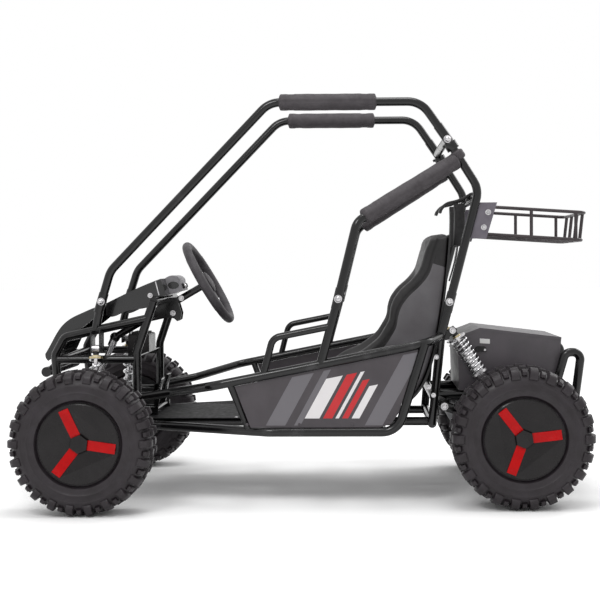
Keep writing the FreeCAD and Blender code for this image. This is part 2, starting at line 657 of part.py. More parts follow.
def rear_frame(main, sides):
    """Uprights behind the seat with the hoop's sockets, shock towers and the rails under the box."""
    span = s.shock_y + 5
    box_cross_x = s.rear_cross_x - 5
    near = [
        tube("hoop_stub", [hoop_foot(), Vector(s.stub_foot_x, s.rear_y, s.stub_foot_z),
                           Vector(s.rear_cross_x, span, s.rail_z)], "frame_tube", s.side_bend),
        sleeve("hoop_socket", hoop_foot(), hoop_back() - hoop_foot()),
        tube("box_rail", [Vector(box_cross_x, s.box_rail_y, s.box_rail_z),
                          Vector(s.box_rail_end_x, s.box_rail_y, s.box_rail_z)], "frame_tube"),
    ]
    for step in (-1, 1):
        middle = s.shock_y + step * s.ear_offset
        near.append(plate("tower_%d" % (step + 1),
                          [(s.top_cross_x, s.stub_foot_z - 8), (s.shock_top_x - 8, s.shock_top_z - 12),
                           (s.shock_top_x - 13, s.shock_top_z + 4), (s.shock_top_x - 2, s.shock_top_z + 13),
                           (s.top_cross_x, s.stub_foot_z + 8)],
                          middle - s.ear_wall / 2, middle + s.ear_wall / 2))
    x = s.pivot_x
    z = s.pivot_z
    ear = plate("swing_hanger", [(box_cross_x, s.box_rail_z + 8), (box_cross_x, s.box_rail_z - 30), (x + 6, z - 20),
                                 (x - 14, z - 16), (x - 20, z), (x - 14, z + 15)],
                s.hanger_y, s.hanger_y + s.ear_wall)
    hole = rod("swing_hole", Vector(x, s.hanger_y - 9, z), Vector(x, s.hanger_y + 9, z),
               "sizes.frame_tube / 2 + sizes.seat_gap")
    near.append(cut("swing_ear", ear, hole))
    side = fuse("rear_side", near)
    whole = fuse("rear_frame_whole", [
        side, mirror("rear_side_far", side),
        cross("rear_low_cross", s.rear_cross_x, s.rail_z, span),
        cross("rear_box_cross", box_cross_x, s.box_rail_z, span + 12),
        cross("rear_top_cross", s.top_cross_x, s.stub_foot_z, s.rear_y),
        cross("rear_end_cross", s.box_rail_end_x, s.box_rail_z, s.bumper_y),
    ])
    return node(trim("rear_frame", whole, [main, sides]), "rear_frame")


def roll_hoop(rear):
    """Hoop behind the seat: two legs, two cross tubes and the sockets for the cage bars."""
    joint = cage_joint()
    back = Vector(s.cage_rear_x, s.cage_y, s.cage_top_z) - joint
    back.normalize()
    near = fuse("hoop_near", [
        tube("hoop_leg", [hoop_foot(), hoop_back(), joint], "cage_tube", s.hoop_bend),
        sleeve("cage_socket", joint + back * (s.sleeve_length / 2 - 10), back),
    ])
    whole = fuse("hoop_whole", [near, mirror("hoop_far", near),
                                cross("hoop_top", joint.x, joint.z, joint.y, "cage_tube"),
                                cross("hoop_middle", hoop_x(s.hoop_cross_z), s.hoop_cross_z, s.hoop_y, "cage_tube")])
    return node(cut("roll_hoop", whole, rear), "roll_hoop")


def pad(name, start, end):
    """Foam sleeve that stands just clear of the tube inside it."""
    outer = rod(name + "_skin", start, end, "sizes.pad_dia / 2")
    inner = rod(name + "_core", start, end, "sizes.cage_tube / 2 + sizes.pad_gap")
    return cut(name, outer, inner)


def cage(front, near_side, hoop):
    """Bars from the nose over the driver to the hoop, the side entry bars and all their pads."""
    brow = Vector(s.brow_x, s.cage_y, s.cage_top_z)
    rear = Vector(s.cage_rear_x, s.cage_y, s.cage_top_z)
    bar = tube("cage_bar_run", [cage_foot(), cage_knee(), brow, rear, cage_joint()], "cage_tube", s.cage_bend)
    pair("cage_bars", trim("cage_bar", bar, [front, hoop]))
    pair("cage_pads", pad("cage_pad", Vector(s.pad_rear_x, s.cage_y, s.cage_top_z),
                          Vector(s.pad_front_x, s.cage_y, s.cage_top_z)))
    share = (s.side_bar_root_z - s.hoop_back_z) / (s.cage_joint_z - s.hoop_back_z)
    root = hoop_back() + (cage_joint() - hoop_back()) * share
    corner = side_corner()
    run = tube("side_bar_run", [root, corner, side_joint()], "cage_tube", s.side_bar_bend)
    pair("side_bars", trim("side_bar", run, [hoop, near_side]))
    ahead = (corner - root).normalize()
    pair("side_bar_pads", pad("side_pad", root + ahead * s.pad_root, corner - ahead * s.pad_tip))


def side_panels():
    """Flat panel inside each side frame, following its tubes."""
    gap = s.frame_tube / 2 + s.panel_inset
    slope = math.atan2(s.top_rear_z - s.top_front_z, s.top_front_x - s.top_rear_x)
    drop = gap / math.cos(slope)
    lower = s.rail_z + gap
    lean = (s.sill_rear_x - s.sill_top_x) / (s.sill_top_z - s.rail_z)
    rear_gap = gap * math.sqrt(1 + lean * lean)
    strut_lean = (s.strut_top_x - s.strut_foot_x) / (top_tube_z(s.strut_top_x) - s.rail_z)
    strut_gap = (s.grab_tube / 2 + s.panel_inset) * math.sqrt(1 + strut_lean * strut_lean)

    def rear_x(z):
        return s.sill_rear_x - (z - s.rail_z) * lean + rear_gap

    def front_x(z):
        return s.strut_foot_x + (z - s.rail_z) * strut_lean - strut_gap

    def upper_corner(edge):
        """Where an end's edge meets the panel's top edge, by repeated substitution."""
        z = s.top_front_z
        for turn in range(6):
            z = top_tube_z(edge(z)) - drop
        return edge(z), z

    turn = 40.0
    outline = [(front_x(lower), lower), upper_corner(front_x), upper_corner(rear_x),
               (rear_x(lower + turn), lower + turn), (rear_x(lower) + turn * 0.22, lower + turn * 0.25),
               (rear_x(lower) + turn, lower)]
    panel = plate("side_panel", outline, s.side_y - s.panel_wall / 2, s.side_y + s.panel_wall / 2)
    pair("side_panels", panel)


def floor_pan():
    """Sheet floor on the inner rails, from the toe cross tube to the seat."""
    z = s.rail_z + s.frame_tube / 2 + 0.1
    half = s.inner_rail_y + 40
    pan = block("floor_pan", Vector(s.seat_cross_x + 14, -half, z),
                Vector(s.upright_x - s.frame_tube / 2 - 3, half, z + s.floor_wall))
    return node(pan, "floor_pan")


def aft(points):
    """Points measured forward from the rear axle."""
    return [(REAR_AXLE_X + x, z) for x, z in points]


def seat():
    """Bucket seat: padded centre and bolsters in a thin moulded shell, on two rails."""
    back = aft([(195, 785), (202, 700), (211, 620), (226, 520), (248, 420), (284, 330), (324, 288)])
    heel = aft([(544, 276)])[0]
    nose = aft([(556, 277), (569, 290), (570, 318), (560, 338)])
    cushion = aft([(560, 338), (500, 342), (424, 352), (369, 395), (339, 460), (314, 540),
                   (292, 620), (276, 700), (264, 770)])
    head = aft([(264, 770), (248, 788), (222, 796), (203, 793), (195, 785)])
    wing_nose = aft([(556, 277), (568, 300), (572, 345), (562, 388)])
    bolster = aft([(562, 388), (518, 412), (464, 436), (413, 472), (391, 502), (375, 532), (371, 562),
                   (361, 592), (339, 622), (306, 652), (283, 682), (273, 712), (264, 741), (252, 777)])
    wing_head = aft([(252, 777), (240, 792), (218, 797), (203, 793), (195, 785)])
    under = [[back[-1], heel], [heel, nose[0]]]
    centre = contour("seat_centre", [back] + under + [nose, cushion, head], -s.seat_inner, s.seat_inner)
    wing = contour("seat_wing", [back] + under + [wing_nose, bolster, wing_head], s.seat_inner, s.seat_half)
    node(fuse("seat_cushion", [centre, wing, mirror("seat_wing_far", wing)]), "seat_cushion")
    gap = s.soft_gap
    wall = s.shell_wall
    inside = [(x - gap, z - gap) for x, z in back]
    outside = [(x - gap - wall, z - gap - wall * 0.6) for x, z in back]
    toe = (heel[0] - gap, heel[1] - gap)
    outer_toe = (toe[0] - wall, toe[1] - wall * 0.6)
    runs = [inside, [inside[-1], toe], [toe, outer_toe], [outer_toe, outside[-1]], outside[::-1],
            [outside[0], inside[0]]]
    node(contour("seat_shell", runs, -s.seat_half, s.seat_half), "seat_shell")
    low = s.rail_z + s.frame_tube / 2 + s.seat_gap
    slope = (back[-1][1] - heel[1]) / (back[-1][0] - heel[0])
    drop = gap + wall * 0.6 - slope * (gap + wall) + s.seat_gap
    rear_end = s.heel_cross_x - 24
    front_end = s.seat_cross_x + 10
    rail = plate("seat_rail", [(rear_end, low), (rear_end, heel[1] + slope * (rear_end - heel[0]) - drop),
                               (front_end, heel[1] + slope * (front_end - heel[0]) - drop), (front_end, low)],
                 s.seat_rail_y - 10, s.seat_rail_y + 10)
    pair("seat_rails", rail)


def harness():
    """Padded shoulder straps that loop over the hoop's middle tube and hang behind the seat."""
    x = hoop_x(s.hoop_cross_z)
    z = s.hoop_cross_z
    reach = s.cage_tube / 2 + 1.4
    ring = [(x + reach * math.cos(math.radians(a)), z + reach * math.sin(math.radians(a)))
            for a in (0, 45, 90, 135)]
    outline = ring + [(x - 18, z + 10), (x - 8, z + 20), (x + 6, z + 19), (x + 30, z + 8), (x + 60, z - 1),
                      (x + 82, z - 10), (x + 98, z - 40), (x + 88, z - 30), (x + 74, z - 22), (x + 50, z - 18),
                      (x + 32, z - 30), (x + 34, 740), (x + 60, 640), (x + 54, 640), (x + 28, 740),
                      (x + 26, z - 30)]
    strap = plate("strap", outline, s.strap_y - s.strap_width / 2, s.strap_y + s.strap_width / 2)
    pair("harness", strap)


def bodywork():
    """Nose cowl and dash cowl, moulded with turned-down sides, and the control box at the dash."""
    t = s.sheet
    sit = brow_z(s.brow_front_x) - 4 + s.bar_tube / 2 + s.seat_gap
    outer = [(803, 430), (779, 472), (749, 517), (719, 540), (689, 554), (659, 567), (640, 574)]
    lip = [(803, 430), (800, 415), (794, 408)]
    under = [outer[-1], (650, 541), (674, 520), (712, sit), (744, sit), (779, 418), (794, 408)]
    whole = contour("nose_block", [outer, *zip(under, under[1:]), lip[::-1]], -s.nose_half, s.nose_half)
    skin = [(x - t, z - t) for x, z in outer]
    cavity = [skin[-1], (600, 500), (740, 440), (790, 380), skin[0]]
    hollow = contour("nose_hollow", [skin, *zip(cavity, cavity[1:])], -s.nose_half + t, s.nose_half - t)
    node(cut("nose_cowl", whole, hollow), "nose_cowl")
    sit = s.upright_top_z + s.bar_tube / 2 + s.seat_gap
    front_edge = s.upright_top_x + s.frame_tube / 2 + 4
    top = [(619, 582), (580, 601), (520, 629), (452, 656)]
    hem = [(618, 545), (606, 541), (560, 557), (front_edge + 26, 566), (front_edge, 574)]
    rear = [top[-1], (436, 607), (445, sit), (front_edge, sit), hem[-1]]
    dash = contour("dash_block", [top, *zip(rear, rear[1:]), hem[::-1], [hem[0], top[0]]], -s.dash_half, s.dash_half)
    low_end = (439 + t, 560)
    inner = [(617, 578), (455, 656 - t - 4), low_end, (470, 520), (640, 520)]
    pocket = plate("dash_hollow", inner, -s.dash_half + t, s.dash_half - t)
    node(cut("dash_cowl", dash, pocket), "dash_cowl")
    gap = s.seat_gap
    face = [(top[-1][0] - gap, top[-1][1]), (rear[1][0] - gap, rear[1][1])]
    crown = [face[0], (446, 660), (424, 665), (409, 658), (404, 644)]
    back = [crown[-1], (396, 619), (face[1][0], 607)]
    node(contour("control_box", [face[::-1], crown, *zip(back, back[1:])], -s.control_half, s.control_half),
         "control_box")
    floor = s.mid_tube_z + s.bar_tube / 2 - 1 + gap
    node(block("controller_box", Vector(s.controller_rear_x, -s.controller_half, floor),
               Vector(s.controller_front_x, s.controller_half, floor + s.controller_height)), "controller_box")


def front_bumper(bars):
    """Round bar across the nose on two flat arms."""
    x = s.nose_x - 4
    z = s.mid_tube_z
    arm = plate("bumper_arm", [(x - 8, z - 8), (x + 4, z + 10), (s.bumper_x + 6, s.bumper_z + 8),
                               (s.bumper_x - 6, s.bumper_z - 8)],
                s.bumper_arm_y - s.ear_wall / 2, s.bumper_arm_y + s.ear_wall / 2)
    whole = fuse("bumper_whole", [cross("bumper_bar", s.bumper_x, s.bumper_z, s.bumper_half, "bumper_dia"),
                                  arm, mirror("bumper_arm_far", arm)])
    return node(cut("front_bumper", whole, bars), "front_bumper")


def battery_box():
    """Folded sheet box over the rear axle, with a sloping front face."""
    low = s.box_rail_z + s.frame_tube / 2 + s.seat_gap
    outline = [(s.box_front_x, s.box_front_z), (s.box_peak_x, s.box_peak_z), (s.box_rear_x, s.box_rear_z),
               (s.box_heel_x, low), (s.box_front_x - 4, low)]
    return node(plate("battery_box", outline, -s.box_half, s.box_half), "battery_box")


def rear_rack():
    """Cargo basket: two loops, their posts and the floor bars, on two plates at the hoop."""
    y = s.rack_y

    def rail_z(x, drop):
        return s.rack_top_z - drop - s.rack_fall * (s.rack_front_x - x) / (s.rack_front_x - s.rack_end_x)

    pieces = []
    for name, drop, front, end in (("top", 0, s.rack_front_x, s.rack_end_x),
                                   ("low", s.rack_depth, s.rack_front_x + 22, s.rack_end_x + 9)):
        points = [Vector(front, y, rail_z(front, drop)), Vector(end, y, rail_z(end, drop)),
                  Vector(end, -y, rail_z(end, drop)), Vector(front, -y, rail_z(front, drop))]
        pieces.append(tube("rack_%s" % name, points, "basket_tube", s.rack_corner))
        pieces.append(cross("rack_front_%s" % name, front, rail_z(front, drop), s.hoop_y, "basket_tube"))
    low_end = s.rack_end_x + 9
    for index in range(int(s.rack_slats)):
        across = y * (2 * (index + 0.5) / s.rack_slats - 1)
        pieces.append(tube("rack_slat_%d" % index, [Vector(s.rack_front_x + 22, across, rail_z(s.rack_front_x + 22, s.rack_depth)),
                                                    Vector(low_end, across, rail_z(low_end, s.rack_depth))], "basket_tube"))
        pieces.append(tube("rack_back_%d" % index, [Vector(s.rack_end_x, across, rail_z(s.rack_end_x, 0)),
                                                    Vector(low_end, across, rail_z(low_end, s.rack_depth))], "basket_tube"))
    corner = s.rack_end_x + s.rack_corner + 4
    for index, x in enumerate((s.rack_post_x, corner)):
        pieces += both_sides("rack_post_%d" % index, [Vector(x, y, rail_z(x, 0)), Vector(x, y, rail_z(x, s.rack_depth))],
                             "basket_tube")
    edge = s.cage_tube / 2 * 1.035 + s.seat_gap
    top = s.rack_plate_top
    low = s.rack_plate_low
    outline = [(hoop_x(top) - edge, top), (hoop_x(top) - edge - s.rack_plate_depth - 4, top),
               (hoop_x(low) - edge - s.rack_plate_depth, low), (hoop_x(low) - edge, low)]
    side = plate("rack_bracket", outline, s.hoop_y - s.rack_plate / 2, s.hoop_y + s.rack_plate / 2)
    brackets = pair("rack_brackets", side)
    node(cut("rear_rack", fuse("rack_whole", pieces), brackets), "rear_rack")


def rear_bumper(rear):
    """One tube: up from the end cross tube, over, down and across behind the axle."""
    y = s.bumper_y
    half = [(s.box_rail_end_x, s.box_rail_z), (s.bumper_rise_x, s.bumper_over_z),
            (s.bumper_over_x, s.bumper_over_z), (s.bumper_low_x, s.bumper_low_z)]
    points = [Vector(x, y, z) for x, z in half] + [Vector(x, -y, z) for x, z in reversed(half)]
    return node(cut("rear_bumper", tube("bumper_hoop", points, "frame_tube", s.bumper_bend), rear), "rear_bumper")


def swing_arm():
    """Rear axle carrier: pivot tube, two arms with bearing blocks and the lower shock brackets."""
    pivot = Vector(s.pivot_x, s.shock_y, s.pivot_z)
    axle = Vector(REAR_AXLE_X, s.shock_y, AXLE_Z)

    def arm_z(x):
        return pivot.z + (axle.z - pivot.z) * (x - pivot.x) / (axle.x - pivot.x)

    near = [tube("swing_side", [pivot, axle], "swing_tube"),
            rod("axle_bearing", axle - Vector(0, 17, 0), axle + Vector(0, 17, 0), "sizes.carrier_radius")]
    for step in (-1, 1):
        middle = s.shock_y + step * s.ear_offset
        x = s.shock_foot_x
        near.append(plate("swing_ear_%d" % (step + 1),
                          [(x + 36, arm_z(x + 36)), (x - 36, arm_z(x - 36)), (x - 14, s.shock_foot_z + 3),
                           (x - 6, s.shock_foot_z + 12), (x + 6, s.shock_foot_z + 12), (x + 14, s.shock_foot_z + 3)],
                          middle - s.ear_wall / 2, middle + s.ear_wall / 2))
    side = fuse("swing_near", near)
    whole = fuse("swing_whole", [side, mirror("swing_far", side),
                                 cross("swing_pivot", s.pivot_x, s.pivot_z, s.shock_y + s.swing_tube / 2 + 2),
                                 cross("swing_cross", s.swing_cross_x, arm_z(s.swing_cross_x), s.shock_y)])
    bore = rod("swing_bore", Vector(REAR_AXLE_X, -s.shock_y - 30, AXLE_Z),
               Vector(REAR_AXLE_X, s.shock_y + 30, AXLE_Z), "sizes.axle_radius + sizes.axle_fit")
    return node(cut("swing_arm", whole, bore), "swing_arm")


def suspension():
    """Front wishbones, and the shocks at all four corners."""
    x = s.front_axle_x
    foot_y = s.front_shock_foot_y
    share = (s.kingpin_y - foot_y) / (s.kingpin_y - s.lower_pivot_y)
    low_ball = ball_joint(-1)
    seat_z = low_ball.z + (s.lower_pivot_z - low_ball.z) * share
    foot = Vector(x, foot_y, seat_z + s.shock_lift)
    saddle = [cross_bar("shock_saddle", x, foot_y, seat_z, s.pivot_half * share + 2)]
    for step in (-1, 1):
        middle = x + step * s.ear_offset
        saddle.append(block("saddle_ear_%d" % (step + 1),
                            Vector(middle - s.ear_wall / 2, foot_y - 11, seat_z - 2),
                            Vector(middle + s.ear_wall / 2, foot_y + 11, foot.z + 12)))
    for name, ball, y, z, extra in (("upper_wishbone", ball_joint(1), s.upper_pivot_y, s.upper_pivot_z, []),
                                    ("lower_wishbone", low_ball, s.lower_pivot_y, s.lower_pivot_z, saddle)):
        half_eye = Vector(0, 0, s.eye_height / 2)
        end = s.pivot_half + s.hinge_over
        pieces = [rod(name + "_eye", ball - half_eye, ball + half_eye, "sizes.eye_radius"),
                  tube(name + "_hinge", [Vector(x - end, y, z), Vector(x + end, y, z)], "pivot_tube")]
        for step in (-1, 1):
            pieces.append(tube("%s_leg_%d" % (name, step + 1), [ball, Vector(x + step * s.pivot_half, y, z)],
                               "wishbone_tube"))
        pair(name + "s", fuse(name, pieces + extra))
    front, front_coil = shock("front_shock", foot, Vector(x, s.front_shock_y, s.front_shock_z), Vector(1, 0, 0),
                              "front_coil", "front_wire", s.front_turns)
    rear, rear_coil = shock("rear_shock", Vector(s.shock_foot_x, s.shock_y, s.shock_foot_z),
                            Vector(s.shock_top_x, s.shock_y, s.shock_top_z), Vector(0, 1, 0),
                            "rear_coil", "rear_wire", s.rear_turns)
    pair("shocks", front, rear)
    pair("springs", front_coil, rear_coil)


def cross_bar(name, x, y, z, half):
    """A short bar fore and aft between a wishbone's legs."""
    return tube(name, [Vector(x - half, y, z), Vector(x + half, y, z)], "wishbone_tube")


def steering_wheel(hub, ahead):
    """Padded ring on three spokes and a round boss, square to the column."""
    ring = doc.addObject("Part::Torus", "wheel_ring_part")
    bind(ring, "Radius1", "sizes.wheel_ring / 2")
    bind(ring, "Radius2", "sizes.wheel_grip / 2")
    pieces = [ring]
    for index, angle in enumerate((90, 270, 180)):
        spoke = block("spoke_%d" % index, Vector(20, -14, -4), Vector(s.wheel_ring / 2, 14, 2))
        spoke.Placement = Placement(Vector(), Rotation(UP, angle)).multiply(spoke.Placement)
        pieces.append(spoke)
    boss = doc.addObject("Part::Cylinder", "wheel_boss")
    boss.Radius = 34
    boss.Height = 26
    boss.Placement = Placement(Vector(0, 0, -s.boss_depth), Rotation())
    pieces.append(boss)
    wheel = fuse("steering_wheel", pieces)
    wheel.Placement = Placement(hub, Rotation(UP, ahead * -1))
    return node(wheel, "steering_wheel")


def steering():
    """Steering wheel and column, the lower shaft, and the rack with its housing and tie rods."""
    rake = math.radians(s.column_rake)
    ahead = Vector(math.cos(rake), 0, -math.sin(rake))
    hub = Vector(s.wheel_x, 0, s.wheel_z)
    joint = hub + ahead * ((s.joint_x - s.wheel_x) / math.cos(rake))
    steering_wheel(hub, ahead)
    ball = doc.addObject("Part::Sphere", "column_ball")
    bind(ball, "Radius", "sizes.coupling_radius")
    ball.Placement = Placement(joint, Rotation())
    column = fuse("steering_column", [rod("column_bar", hub + ahead * s.boss_depth, joint, "sizes.column_radius"), ball])
    node(column, "steering_column")
    pinion = Vector(s.rack_x, 0, s.rack_z + s.rack_radius + 14)
    down = (pinion - joint).normalize()
    cup = doc.addObject("Part::Sphere", "shaft_cup")
    bind(cup, "Radius", "sizes.coupling_radius + sizes.joint_gap")
    cup.Placement = Placement(joint, Rotation())
    shaft = fuse("shaft_whole", [rod("shaft_bar", joint, pinion - down * 4, "sizes.column_radius - 2"),
                                 rod("shaft_head", joint + down * 6, joint + down * 30, "sizes.column_radius + 2")])
    node(cut("steering_shaft", shaft, cup), "steering_shaft")
    feet = []
    shelf = s.pivot_rail_z + s.frame_tube / 2 + 2 + s.seat_gap
    for side in (1, -1):
        middle = side * s.housing_half * 0.6
        feet.append(block("rack_foot_%d" % (side + 1), Vector(s.rack_x - 16, middle - 9, shelf),
                          Vector(s.rack_x + 16, middle + 9, s.rack_z - 9)))
    housing = fuse("rack_housing_whole", feet + [
        rod("rack_tube", Vector(s.rack_x, -s.housing_half, s.rack_z), Vector(s.rack_x, s.housing_half, s.rack_z),
            "sizes.housing_radius"),
        rod("pinion_tower", Vector(s.rack_x, 0, s.rack_z), pinion + down * -24, "sizes.housing_radius - 2"),
    ])
    bores = fuse("rack_bores", [
        rod("rack_bore", Vector(s.rack_x, -s.housing_half - 5, s.rack_z),
            Vector(s.rack_x, s.housing_half + 5, s.rack_z), "sizes.rack_radius + sizes.axle_fit"),
        rod("pinion_bore", pinion - down * 2, pinion + down * -40, "sizes.column_radius - 2 + sizes.axle_fit"),
    ])
    node(cut("rack_housing", housing, bores), "rack_housing")
    rods = [cross("rack_bar", s.rack_x, s.rack_z, s.rack_half, "rack_dia")]
    for side in (1, -1):
        inner = side * s.rack_half
        end = Vector(s.rack_x, side * s.kingpin_y, s.rack_z)
        half = Vector(0, 0, s.tie_eye_half)
        rods.append(rod("tie_rod_%d" % (side + 1), Vector(s.rack_x, inner * 0.95, s.rack_z), end, "sizes.rod_radius"))
        rods.append(rod("tie_eye_%d" % (side + 1), end - half, end + half, "sizes.rod_radius + 4"))
        rods.append(rod("tie_boot_%d" % (side + 1), Vector(s.rack_x, inner - side * 14, s.rack_z),
                        Vector(s.rack_x, inner + side * 14, s.rack_z), "sizes.rack_radius + 4"))
    node(fuse("tie_rods", rods), "tie_rods")


def knuckle():
    """Kingpin post with the wheel spindle and the steering arm."""
    post = Vector(s.front_axle_x, s.kingpin_y, AXLE_Z)
    top = s.rack_z - s.tie_eye_half - s.joint_gap
    arm_end = Vector(s.rack_x, s.kingpin_y, top)
    rise = Vector(0, 0, s.kingpin_half)
    pieces = [
        rod("kingpin_post", post - rise, post + rise, "sizes.kingpin_radius"),
        rod("spindle", post, Vector(post.x, s.spindle_end_y, post.z), "sizes.spindle_radius"),
        rod("spindle_shoulder", post, Vector(post.x, s.front_wheel_y - 12 - s.seat_gap, post.z),
            "sizes.spindle_radius + 5"),
        block("steer_arm", Vector(post.x, s.kingpin_y - 7, top - s.arm_wall), Vector(s.rack_x, s.kingpin_y + 7, top)),
        rod("steer_eye", arm_end - Vector(0, 0, s.arm_wall), arm_end, "sizes.rod_radius + 4"),
    ]
    left_and_right("knuckle", fuse("knuckle", pieces))


def front_wheels():
    for side, word in ((1, "left"), (-1, "right")):
        place = wheel_place(s.front_axle_x, side * s.front_wheel_y, side)
        width = s.front_tyre_width
        node(tyre("front_tyre_" + word, width, s.front_lug_length, place), "front_tyre_" + word)
        node(rim("front_rim_" + word, width, place, s.spindle_radius + s.axle_fit), "front_rim_" + word)
        shell, blades = cover("front_cover_" + word, width, place, s.front_twist)
        node(shell, "front_cover_" + word)
        node(blades, "front_blades_" + word)


def rear_wheels():
    tyres = []
    rims = []
    covers = []
    blades = []
    for side, word in ((1, "left"), (-1, "right")):
        place = wheel_place(REAR_AXLE_X, side * s.rear_wheel_y, side)
        tyres.append(tyre("rear_tyre_" + word, s.rear_tyre_width, s.rear_lug_length, place))
        rims.append(rim("rear_rim_" + word, s.rear_tyre_width, place, s.axle_radius + s.axle_fit))
        shell, trio = cover("rear_cover_" + word, s.rear_tyre_width, place, s.rear_twist)
        covers.append(shell)
        blades.append(trio)
    for name, things in (("rear_tyres", tyres), ("rear_rims", rims), ("rear_covers", covers),
                         ("rear_blades", blades)):
        both = doc.addObject("Part::Compound", name)
        both.Links = things
        node(both, name)


def rear_axle():
    """Live axle with its sprocket and brake disc."""
    reach = s.rear_wheel_y + 18
    node(rod("rear_axle", Vector(REAR_AXLE_X, -reach, AXLE_Z), Vector(REAR_AXLE_X, reach, AXLE_Z),
             "sizes.axle_radius"), "rear_axle")
    for name, y, cell in (("sprocket", s.sprocket_y, "sprocket_radius"), ("brake_disc", s.disc_y, "disc_radius")):
        at = Vector(REAR_AXLE_X, y, AXLE_Z)
        across = Vector(0, 1, 0)
        disc = rod(name + "_disc", at, at + across * s.disc_wall, "sizes." + cell)
        hub = rod(name + "_hub", at - across * 8, at + across * 14, "sizes.hub_radius")
        bore = rod(name + "_bore", at - across * 20, at + across * 26, "sizes.axle_radius + sizes.axle_fit")
        node(cut(name, fuse(name + "_whole", [disc, hub]), bore), name)


def motor_z():
    """Height of the motor's shaft, under the box rails and the plate that carries it."""
    return s.box_rail_z - s.frame_tube / 2 - s.seat_gap - s.motor_radius


def motor():
    """Motor under the box rails, hung from a flat plate, with its shaft and pinion."""
    half = s.motor_length / 2
    z = motor_z()
    body = rod("motor_body", Vector(s.motor_x, -half, z), Vector(s.motor_x, half, z), "sizes.motor_radius")
    top = z + s.motor_radius
    hanger = block("motor_plate", Vector(s.motor_x - 50, -s.box_rail_y - 8, top - s.ear_wall),
                   Vector(s.motor_x + 50, s.box_rail_y + 8, top))
    shaft = rod("motor_shaft", Vector(s.motor_x, s.sprocket_y - 6, z), Vector(s.motor_x, 0, z), "8")
    pinion = rod("motor_pinion", Vector(s.motor_x, s.sprocket_y, z),
                 Vector(s.motor_x, s.sprocket_y + s.disc_wall, z), "sizes.pinion_radius")
    return node(fuse("motor", [body, hanger, shaft, pinion]), "motor")


def belt_loop(name, grow, width):
    """A flat loop round the pinion and the sprocket, wider than both by grow."""
    axle = Vector(REAR_AXLE_X, 0, AXLE_Z)
    shaft = Vector(s.motor_x, 0, motor_z())
    large = s.sprocket_radius + grow
    small = s.pinion_radius + grow
    ahead = shaft - axle
    tilt = math.atan2(ahead.z, ahead.x)
    spread = math.acos((large - small) / ahead.Length)

    def at(centre, radius, angle):
        return centre + Vector(math.cos(angle), 0, math.sin(angle)) * radius + Vector(0, s.sprocket_y, 0)

    upper = tilt + spread
    lower = tilt - spread
    edges = [
        Part.LineSegment(at(axle, large, upper), at(shaft, small, upper)).toShape(),
        Part.Arc(at(shaft, small, upper), at(shaft, small, tilt), at(shaft, small, lower)).toShape(),
        Part.LineSegment(at(shaft, small, lower), at(axle, large, lower)).toShape(),
        Part.Arc(at(axle, large, lower), at(axle, large, tilt + math.pi), at(axle, large, upper)).toShape(),
    ]
    outline = doc.addObject("Part::Feature", name + "_outline")
    outline.Shape = Part.Wire(edges)
    solid = doc.addObject("Part::Extrusion", name)
    solid.Base = outline
    solid.DirMode = "Custom"
    solid.Dir = Vector(0, 1, 0)
    solid.LengthFwd = width
    solid.Solid = True
    return solid


def chain():
    """Roller chain as a plain closed band that stands just clear of the teeth."""
    outer = belt_loop("chain_outer", s.chain_gap + s.chain_height, s.disc_wall)
    inner = belt_loop("chain_inner", s.chain_gap, s.disc_wall)
    node(cut("drive_chain", outer, inner), "drive_chain")


def caliper(arm):
    """Brake caliper astride the disc, on a strip that is welded to the axle's bearing block."""
    x = REAR_AXLE_X
    foot = AXLE_Z + s.hub_radius + 6
    near = s.disc_y - s.caliper_half + s.disc_wall / 2
    far = s.disc_y + s.caliper_half + s.disc_wall / 2
    body = block("caliper_body", Vector(x - 24, near, foot), Vector(x + 24, far, AXLE_Z + s.disc_radius + 8))
    slot = rod("caliper_slot", Vector(x, s.disc_y - s.caliper_gap, AXLE_Z),
               Vector(x, s.disc_y + s.disc_wall + s.caliper_gap, AXLE_Z), "sizes.disc_radius + sizes.caliper_gap")
    strip = block("caliper_strip", Vector(x - 16, far - 2, foot), Vector(x + 16, s.shock_y, foot + 8))
    node(trim("brake_caliper", fuse("caliper_whole", [body, strip]), [slot, arm]), "brake_caliper")


def pedals():
    """Two pedals on one cross shaft that stands on the floor."""
    floor = s.rail_z + s.frame_tube / 2 + 0.1 + s.floor_wall + 0.2
    axis_z = floor + s.pedal_shaft / 2 + 6
    x = s.pedal_x
    half = s.pedal_y + 44
    pieces = [cross("pedal_axis", x, axis_z, half, "pedal_shaft")]
    for side in (1, -1):
        pieces.append(block("pedal_foot_%d" % (side + 1), Vector(x - 12, side * half - 5, floor),
                            Vector(x + 12, side * half + 5, axis_z + 10)))
        y = side * s.pedal_y
        top = axis_z + s.pedal_height
        pieces.append(plate("pedal_arm_%d" % (side + 1), [(x - 5, axis_z), (x + 5, axis_z), (x - 8, top - 8), (x - 18, top - 8)],
                            y - 7, y + 7))
        pieces.append(plate("pedal_pad_%d" % (side + 1), [(x - 7, top - 52), (x - 1, top - 52), (x - 13, top), (x - 21, top)],
                            y - 28, y + 28))
    return node(fuse("pedals", pieces), "pedals")


def build():
    front = front_frame()
    rails = mid_rails(front)
    bars = front_crossbars(front, rails)
    pivot_rails(bars)
    near = side_frame(front, bars)
    sides = pair("side_frames", near)
    main = main_frame(front, bars, sides)
    rear = rear_frame(main, sides)
    hoop = roll_hoop(rear)
    cage(front, near, hoop)
    side_panels()
    floor_pan()
    seat()
    harness()
    bodywork()
    front_bumper(bars)
    battery_box()
    rear_rack()
    rear_bumper(rear)
    arm = swing_arm()
    suspension()
    steering()
    knuckle()
    front_wheels()
    rear_wheels()
    rear_axle()
    motor()
    chain()
    caliper(arm)
    pedals()


